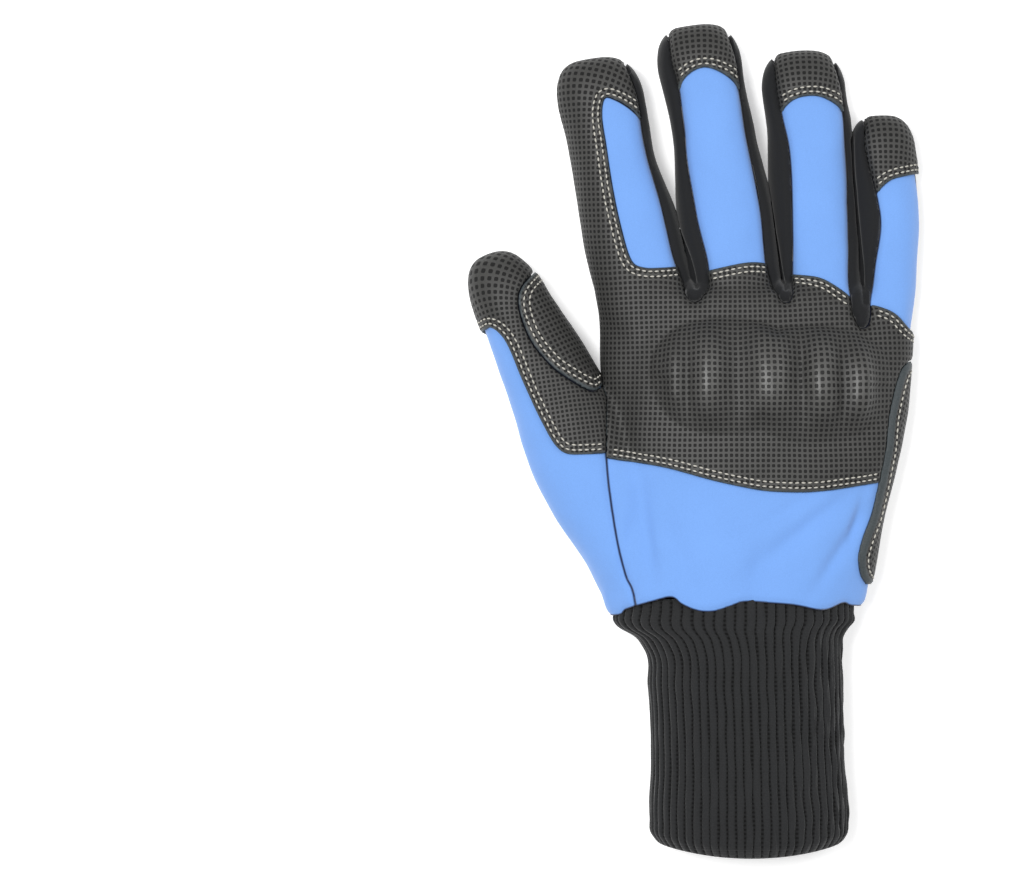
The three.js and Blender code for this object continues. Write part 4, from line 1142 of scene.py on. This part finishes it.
class GLOVE_OT_fabric(bpy.types.Operator):
    """Cut the fabric panels: the back, the palm, the thumb and the strips between the fingers"""

    bl_idname = "glove.fabric"
    bl_label = "Fabric"

    def execute(self, context):
        cloth = shared["cloth"]
        looks = materials()
        top = cloth.above()
        back, wrap, under = (cloth.region(name, *edges) for name, edges in THUMB_SIDES.items())
        fabric_piece("fabric_thumb", "thumb_back", cloth.both_sides(back, wrap), looks["blue"])
        fabric_piece("fabric_back", "back_panel", np.maximum.reduce((top, -back, -cloth.strips())), looks["blue"])
        fabric_piece("fabric_thumb_palm", "thumb_palm", np.maximum.reduce((-top, under, -wrap)), looks["black"])
        fabric_piece("fabric_palm", "palm_panel", np.maximum.reduce((-top, -under, -wrap)), looks["printed"])
        for pair in STRIP_TIPS:
            field = np.maximum(top, cloth.strip(pair))
            fabric_piece("strip_" + pair, "side_strip_" + pair, field, looks["black"], strip=pair)
        return {"FINISHED"}


def iso_lines(bm, layer, level, inside):
    """Lines on the sheet where the layer has the level, kept where the sheet reaches further in than inside."""
    here = bm.verts.layers.float["inside"]
    points, links = {}, {}
    for edge in bm.edges:
        a, b = edge.verts
        va, vb = a[layer] - level, b[layer] - level
        if (va < 0) != (vb < 0):
            t = va / (va - vb)
            if a[here] + (b[here] - a[here]) * t > inside:
                points[edge.index] = (a.co.lerp(b.co, t), a.normal.lerp(b.normal, t).normalized())
    for face in bm.faces:
        hit = [e.index for e in face.edges if e.index in points]
        if len(hit) == 2:
            links.setdefault(hit[0], []).append(hit[1])
            links.setdefault(hit[1], []).append(hit[0])
    lines, seen = [], set()
    for start in sorted(links, key=lambda i: (len(links[i]), i)):
        if start in seen:
            continue
        line, here_now = [start], start
        seen.add(start)
        while True:
            ahead = [n for n in links[here_now] if n not in seen]
            if not ahead:
                break
            here_now = ahead[0]
            seen.add(here_now)
            line.append(here_now)
        if len(line) > CLOSED_FROM and line[0] in links[line[-1]]:
            line.append(line[0])
        lines.append([points[i] for i in line])
    return lines


def stitch_places(line, pitch):
    """Evenly spaced places along a line on the sheet: where, which way, and which way is out."""
    co = np.array([tuple(p) for p, _ in line])
    out = np.array([tuple(n) for _, n in line])
    if len(co) < FEWEST_POINTS:
        return []
    for _ in range(ROW_SMOOTHING):
        co[1:-1] = co[1:-1] * 0.5 + (co[:-2] + co[2:]) * 0.25
    along = np.concatenate(([0], np.cumsum(np.linalg.norm(np.diff(co, axis=0), axis=1))))
    count = int(along[-1] / pitch)
    if count < 2:
        return []
    span = along[-1] / count
    places = []
    for i in range(count):
        mid = (i + 0.5) * span
        at = [np.array([np.interp(s, along, values[:, k]) for k in range(3)])
              for s, values in ((mid, co), (mid - pitch / 3, co), (mid + pitch / 3, co), (mid, out))]
        places.append((at[0], at[2] - at[1], at[3]))
    return places


def sew(name, places):
    """One stitch for each place, as one piece."""
    sizes = bpy.context.scene.glove_stitches
    if not places:
        raise RuntimeError(f"{name} has no line to sew along")
    bm = bmesh.new()
    chance = random.Random(len(places))
    shape = Matrix.Diagonal((sizes.stitch / 2, sizes.thread / 2, sizes.thread / 2, 1))
    for where, along, out in places:
        x = Vector(along).normalized()
        y = Vector(out).cross(x).normalized()
        z = x.cross(y)
        tilt = chance.uniform(-STITCH_TURN, STITCH_TURN)
        turn = Matrix((x, y, z)).transposed().to_4x4() @ Matrix.Rotation(tilt, 4, "Z")
        spot = Matrix.Translation(Vector(where) + z * sizes.thread * STITCH_OUT)
        bmesh.ops.create_uvsphere(bm, u_segments=6, v_segments=5, radius=1, matrix=spot @ turn @ shape)
    dress(new_object(name, bm), materials()["thread"], None)


def lay_flat(obj):
    """Unwraps the sheet at its real size, in line with the hand, for the leather's dots."""
    mesh = obj.data
    bpy.ops.object.select_all(action="DESELECT")
    obj.select_set(True)
    bpy.context.view_layer.objects.active = obj
    bpy.ops.object.mode_set(mode="EDIT")
    bpy.ops.mesh.select_all(action="SELECT")
    bpy.ops.uv.unwrap(method="ANGLE_BASED", margin=0.0)
    bpy.ops.object.mode_set(mode="OBJECT")
    loops = len(mesh.loops)
    uv = np.zeros(loops * 2, np.float32)
    layer = mesh.uv_layers.active.uv
    layer.foreach_get("vector", uv)
    uv = uv.reshape(-1, 2).astype(float)
    verts = np.zeros(loops, np.int32)
    mesh.loops.foreach_get("vertex_index", verts)
    plan = read(mesh, "co")[verts][:, :2]
    upright = np.abs(read(mesh, "normal")[verts][:, 2]) ** 4
    weight = upright / upright.sum()
    a, b = uv - weight @ uv, plan - weight @ plan
    spin, _, back = np.linalg.svd((a * weight[:, None]).T @ b)
    turn = spin @ back
    mesh.calc_loop_triangles()
    corners = np.zeros(len(mesh.loop_triangles) * 3, np.int32)
    mesh.loop_triangles.foreach_get("loops", corners)
    tri = uv[corners].reshape(-1, 3, 2)
    one, two = tri[:, 1] - tri[:, 0], tri[:, 2] - tri[:, 0]
    flat_area = np.abs(one[:, 0] * two[:, 1] - one[:, 1] * two[:, 0]).sum() / 2
    scale = math.sqrt(sum(face.area for face in mesh.polygons) / flat_area)
    layer.foreach_set("vector", (a @ turn * scale).astype(np.float32).ravel())


def leather_piece(name, node, field, sewn, thick=0.0, pad=None, rows=2, lines=()):
    """A sheet of leather over the fabric, with a raw edge and stitch rows beside its sewn edges."""
    cloth = shared["cloth"]
    sizes, stitches = cloth.sizes, bpy.context.scene.glove_stitches
    field = np.maximum(field, cloth.past_wrist())
    depth = np.clip(-field, 0, None)
    extra = {"sewn": sewn}
    levels = (stitches.first_row, stitches.second_row)[:rows]
    shape = sizes.leather + sizes.clearance + thick - EDGE_SINK * bell(depth, EDGE_SINK_HALF)
    shape += LEATHER_PUFF * (1 - np.exp(-depth / LEATHER_PUFF_RUN))
    beside_strip = bell(np.clip(cloth.strips() - GAP, 0, None), SIDE_PINCH_HALF)
    shape -= SIDE_PINCH * beside_strip * (cloth.above() < 0)
    for level in levels:
        shape -= STITCH_SINK * bell(sewn - level, STITCH_SINK_HALF)
    for i, line in enumerate(lines):
        extra[f"line_{i}"] = line
        shape -= LINE_SINK * bell(line, LINE_SINK_HALF)
    if pad is not None:
        # The pad's height marks the ridge tops, which the leather makes shinier from wear and lighter as a painted
        # highlight
        extra["wear_and_highlight"] = pad / sizes.knuckle_rise
        shape += pad
    bm = cut_sheet(cloth, cloth.co + cloth.normal * shape[:, None], field, extra)
    bm.edges.index_update()
    stitched = [("sewn", level, SEWN_INSIDE) for level in levels]
    stitched += [(f"line_{i}", LINE_ROW, LINE_INSIDE) for i in range(len(lines))]
    places = []
    for layer, level, inside in stitched:
        for line in iso_lines(bm, bm.verts.layers.float[layer], level, inside):
            places += stitch_places(line, stitches.pitch)
    obj = new_object(name, bm)
    lay_flat(obj)
    thicken(obj, sizes.leather + thick, rim=True)
    dress(obj, materials()["leather"], node, materials()["raw"])
    sew("stitches_" + name, places)
    return obj


def leather_fields(cloth):
    """Distances to the outlines that more than one piece of leather needs."""
    return {name: cloth.region(name, *edges) for name, edges in LEATHER_REGIONS.items()}


def pad_height(cloth):
    """Height of the moulded knuckles: wide domes with ridges on them, steep above and soft below."""
    sizes = cloth.sizes
    x, y = cloth.xy[:, 0], cloth.xy[:, 1]
    base = np.zeros(len(x))
    for across, up, half, run, share in PAD_DOMES:
        u = np.abs(x - across * sizes.palm_width) / (half * MM)
        v = (y - up * sizes.palm_length) / (run * MM)
        far = np.clip(1 - u**DOME_SIDE - np.abs(v) ** np.where(v > 0, DOME_ABOVE, DOME_BELOW), 0, 1)
        base = np.maximum(base, share * far ** np.where(v > 0, STEEP_ABOVE, SOFT_BELOW))
    ridges = np.zeros(len(x))
    for across, up, half, run, share in PAD_RIDGES:
        u = np.abs(x - across * sizes.palm_width) / (half * MM)
        v = np.abs(y - up * sizes.palm_length) / (run * MM)
        ridges = np.maximum(ridges, share * np.exp(-(u**DOME_SIDE)) * np.exp(-(v**RIDGE_END)))
    return (base * DOME_SHARE + ridges * np.clip(base * RIDGES_RISE, 0, 1)) * sizes.knuckle_rise


class GLOVE_OT_knuckles(bpy.types.Operator):
    """Cut the leather over the knuckles, mould its pad and sew its edges"""

    bl_idname = "glove.knuckles"
    bl_label = "Knuckle leather"

    def execute(self, context):
        cloth = shared["cloth"]
        plan = leather_fields(cloth)
        field = np.maximum.reduce((
            plan["guard"], cloth.above(), GAP - cloth.strips(), GAP - plan["edge"], GAP - plan["cap"],
            GAP - plan["patch"], GAP - plan["insert"],
        ))
        sewn = cloth.near_lines((GUARD_LOWER, GUARD_LITTLE_TOP, GUARD_RING_TOP, GUARD_MIDDLE_TOP, INSERT_EDGE))
        pad = leather_piece("knuckle_leather", "knuckle_guard", field, sewn, pad=pad_height(cloth))
        return {"FINISHED"}


class GLOVE_OT_fingertips(bpy.types.Operator):
    """Cut the leather caps of the middle, ring and little fingers and sew their edges"""

    bl_idname = "glove.fingertips"
    bl_label = "Fingertip leather"

    def execute(self, context):
        cloth = shared["cloth"]
        for name, edges in CAP_SIDES.items():
            outline = cloth.region(name, *edges)
            field = np.maximum.reduce((outline, cloth.above(), GAP - cloth.strips()))
            leather_piece("leather_" + name, name, field, cloth.near_lines(edges[:1]))
        return {"FINISHED"}


class GLOVE_OT_thumb(bpy.types.Operator):
    """Cut the thumb's leather cap and the thicker patch beside it and sew their edges"""

    bl_idname = "glove.thumb"
    bl_label = "Thumb leather"

    def execute(self, context):
        cloth = shared["cloth"]
        plan = leather_fields(cloth)
        patch = cloth.both_sides(plan["patch"], np.minimum(plan["patch_tip"], plan["leaf"]))
        cap = cloth.both_sides(plan["cap"], plan["wrap"])
        cap_sewn = cloth.near_sides((THUMB_CAP_EDGE,), (THUMB_WRAP_EDGE,))
        patch_sewn = cloth.near_sides((PATCH_EDGE,), (PATCH_TIP_EDGE, PATCH_LEAF_EDGE))
        leather_piece("leather_thumb_cap", "thumb_cap", np.maximum(cap, GAP - patch), cap_sewn)
        leather_piece("leather_thumb_patch", "thumb_patch", patch, patch_sewn, thick=cloth.sizes.patch_proud)
        return {"FINISHED"}


class GLOVE_OT_sides(bpy.types.Operator):
    """Cut the leather on the outer edge of the hand and the patch under the palm and sew them"""

    bl_idname = "glove.sides"
    bl_label = "Edge and palm leather"

    def execute(self, context):
        cloth = shared["cloth"]
        plan = leather_fields(cloth)
        top = cloth.above()
        edge = cloth.both_sides(plan["edge"], plan["edge_palm"])
        edge_sewn = cloth.near_sides((EDGE_BACK,), (EDGE_PALM,)) - TURNED_EDGE * (top < 0)
        leather_piece("leather_edge", "edge_guard", edge, edge_sewn, rows=1)
        palm = cloth.region("palm_patch", *PALM_PATCH_EDGE)
        field = np.maximum.reduce((
            palm, -top, GAP - plan["edge_palm"], GAP - plan["patch_tip"], GAP - plan["leaf"],
        ))
        lines = [cloth.near_lines((line,)) for line in (*PALM_INNER_LINES, HEEL_OVAL)]
        leather_piece("leather_palm", "palm_patch", field, -palm, lines=lines)
        return {"FINISHED"}


def ripple(step, down, grain):
    """Soft noise over the cuff; the grain is fineness round it, fineness down it and a place of its own."""
    return noise.noise(Vector((step * grain[0], down * grain[1], grain[2])))


class GLOVE_OT_cuff(bpy.types.Operator):
    """Knit the ribbed cuff: a closed sheet that turns in at the hem"""

    bl_idname = "glove.cuff"
    bl_label = "Cuff"

    def execute(self, context):
        sizes = context.scene.cuff_sizes
        around = sizes.ribs * CUFF_ROUND
        rows = self.rows(sizes)
        bm = bmesh.new()
        groove = bm.verts.layers.float.new("groove")
        grid = bmesh.ops.create_grid(bm, x_segments=around, y_segments=len(rows) - 1, size=1)["verts"]
        even = self.even_angles(sizes, around)
        for vert in grid:
            step = round((vert.co.x + 1) / 2 * around) % around
            down, shrink, rib = rows[round((vert.co.y + 1) / 2 * (len(rows) - 1))]
            left, right, deep, bow = (float(column(CUFF_ROWS, i, down)) for i in (1, 2, 3, 4))
            narrow_left, narrow_right = (float(column(CUFF_ROWS, i, max(down, STRAIGHT_FROM))) for i in (1, 2))
            side, z = map(float, ring_points(
                narrow_left * sizes.width + shrink, narrow_right * sizes.width - shrink, shrink,
                deep * sizes.depth - shrink, np.array(even[step]),
            ))
            middle = (narrow_left + narrow_right) / 2 * sizes.width
            spread = (side - middle) / ((narrow_right - narrow_left) / 2 * sizes.width)
            side += sizes.width * (
                (left - narrow_left) * max((1 - spread) / 2, 0) ** SIDE_SHARE
                + (right - narrow_right) * max((1 + spread) / 2, 0) ** SIDE_SHARE
            )
            y = -down * sizes.length - bow * sizes.bow * (1 - spread * spread)
            wave = abs(2 * (step / (around / sizes.ribs) % 1) - 1)
            vert[groove] = wave**2 if rib else 0
            cut = rib * sizes.rib_depth * wave**3
            out = Vector((side - middle, 0, z - deep * sizes.depth * CUFF_MIDDLE))
            out.x *= deep * sizes.depth / sizes.width
            out.normalize()
            wander = WANDER * ripple(step, down, WANDER_GRAIN) * rib
            gather = GATHER_DEPTH * math.exp(-(((down - GATHERED_AT) / GATHERED_HALF) ** 2)) * rib
            bulge = WANDER_OUT * wander + gather * ripple(step, down, GATHERED_GRAIN)
            vert.co = Vector((side, y, z)) - out * (cut - bulge)
            vert.co.x += wander
        bmesh.ops.remove_doubles(bm, verts=bm.verts, dist=CUFF_MERGE)
        ends = [e for e in bm.edges if e.is_boundary]
        bmesh.ops.bridge_loops(bm, edges=ends)
        bmesh.ops.recalc_face_normals(bm, faces=bm.faces)
        obj = new_object("knit_cuff", bm)
        low = min(v.co.z for v in obj.data.vertices)
        obj.data.transform(Matrix.Translation((0, 0, max(0.0, -low))))
        dress(obj, materials()["knit"], "cuff")
        return {"FINISHED"}

    @staticmethod
    def rows(sizes):
        """Down the outside, round the hem and up the inside: share of the length, how far in, ribs."""
        first, last = CUFF_ROWS[0][0], CUFF_ROWS[-1][0]
        half = sizes.wall / 2
        outside = [(u, 0.0, 1.0) for u in np.linspace(first, last, CUFF_STEPS)]
        turn = [
            (last + math.sin(a) * half / sizes.length, half * (1 - math.cos(a)), max(0.0, math.cos(a)))
            for a in np.radians(np.linspace(*HEM_DEGREES, HEM_STEPS))
        ]
        inside = [(u, sizes.wall, 0.0) for u in np.linspace(last, first, CUFF_INSIDE)]
        return outside + turn + inside

    @staticmethod
    def even_angles(sizes, around):
        """Angles that put the ribs at even distances round the cuff."""
        fine = np.linspace(0, 2 * math.pi, ANGLE_STEPS)
        side, z = ring_points(-sizes.width / 2, sizes.width / 2, 0, sizes.depth, fine)
        along = np.concatenate(([0], np.cumsum(np.hypot(np.diff(side), np.diff(z)))))
        return np.interp(np.arange(around) / around * along[-1], along, fine)


class GLOVE_OT_stage(bpy.types.Operator):
    """Set the floor, the light and the camera"""

    bl_idname = "glove.stage"
    bl_label = "Stage"

    def execute(self, context):
        scene = context.scene
        bm = bmesh.new()
        bmesh.ops.create_grid(bm, x_segments=1, y_segments=1, size=FLOOR_SIZE)
        floor = new_object("floor", bm)
        floor.data.transform(Matrix.Translation((0, 0, CAD_BOX[0][2])))
        finish = Finish("floor")
        finish.surface((*scene.glove_colours.floor, 1), 0.9, 0.1)
        finish.shader.inputs["Emission Color"].default_value = WHITE
        finish.shader.inputs["Emission Strength"].default_value = FLOOR_GLOW
        floor.data.materials.append(finish.material)
        for name, place, size, watts in LIGHTS:
            light = bpy.data.lights.new(name, "AREA")
            light.size = size
            light.energy = watts
            lamp = bpy.data.objects.new(name, light)
            lamp.location = place
            lamp.rotation_euler = (-Vector(place)).to_track_quat("-Z", "Y").to_euler()
            scene.collection.objects.link(lamp)
        world = bpy.data.worlds.new("studio")
        world.use_nodes = True
        sky = world.node_tree.nodes["Background"]
        sky.inputs["Color"].default_value = WHITE
        sky.inputs["Strength"].default_value = SKY_LIGHT
        scene.world = world
        scene.view_settings.view_transform = "Standard"
        camera = bpy.data.cameras.new("camera")
        camera.lens = LENS
        camera.clip_end = CAMERA_END
        view = bpy.data.objects.new("camera", camera)
        view.location = CAMERA_AT
        scene.collection.objects.link(view)
        scene.camera = view
        return {"FINISHED"}


STEPS = (
    GLOVE_OT_form, GLOVE_OT_fabric, GLOVE_OT_knuckles, GLOVE_OT_fingertips, GLOVE_OT_thumb, GLOVE_OT_sides,
    GLOVE_OT_cuff, GLOVE_OT_stage,
)
GROUPS = {
    "glove_sizes": GloveSizes, "cuff_sizes": CuffSizes, "glove_stitches": StitchSizes, "glove_colours": GloveColours,
}


class GLOVE_PT_panel(bpy.types.Panel):
    """The glove's pieces in the order in which they are made"""

    bl_idname = "GLOVE_PT_panel"
    bl_label = "Mechanic glove"
    bl_space_type = "VIEW_3D"
    bl_region_type = "UI"
    bl_category = "Glove"

    def draw(self, context):
        for step in STEPS:
            self.layout.operator(step.bl_idname)
        for name, group in GROUPS.items():
            box = self.layout.box()
            for key in group.__annotations__:
                box.prop(getattr(context.scene, name), key)


def register():
    for kind in (*GROUPS.values(), *STEPS, GLOVE_PT_panel):
        bpy.utils.register_class(kind)
    for name, group in GROUPS.items():
        setattr(bpy.types.Scene, name, PointerProperty(type=group))


def unregister():
    for name in GROUPS:
        delattr(bpy.types.Scene, name)
    for kind in (GLOVE_PT_panel, *reversed(STEPS), *GROUPS.values()):
        bpy.utils.unregister_class(kind)


def main():
    register()
    for step in STEPS:
        getattr(bpy.ops.glove, step.bl_idname.split(".")[1])()


if __name__ == "__main__":
    main()
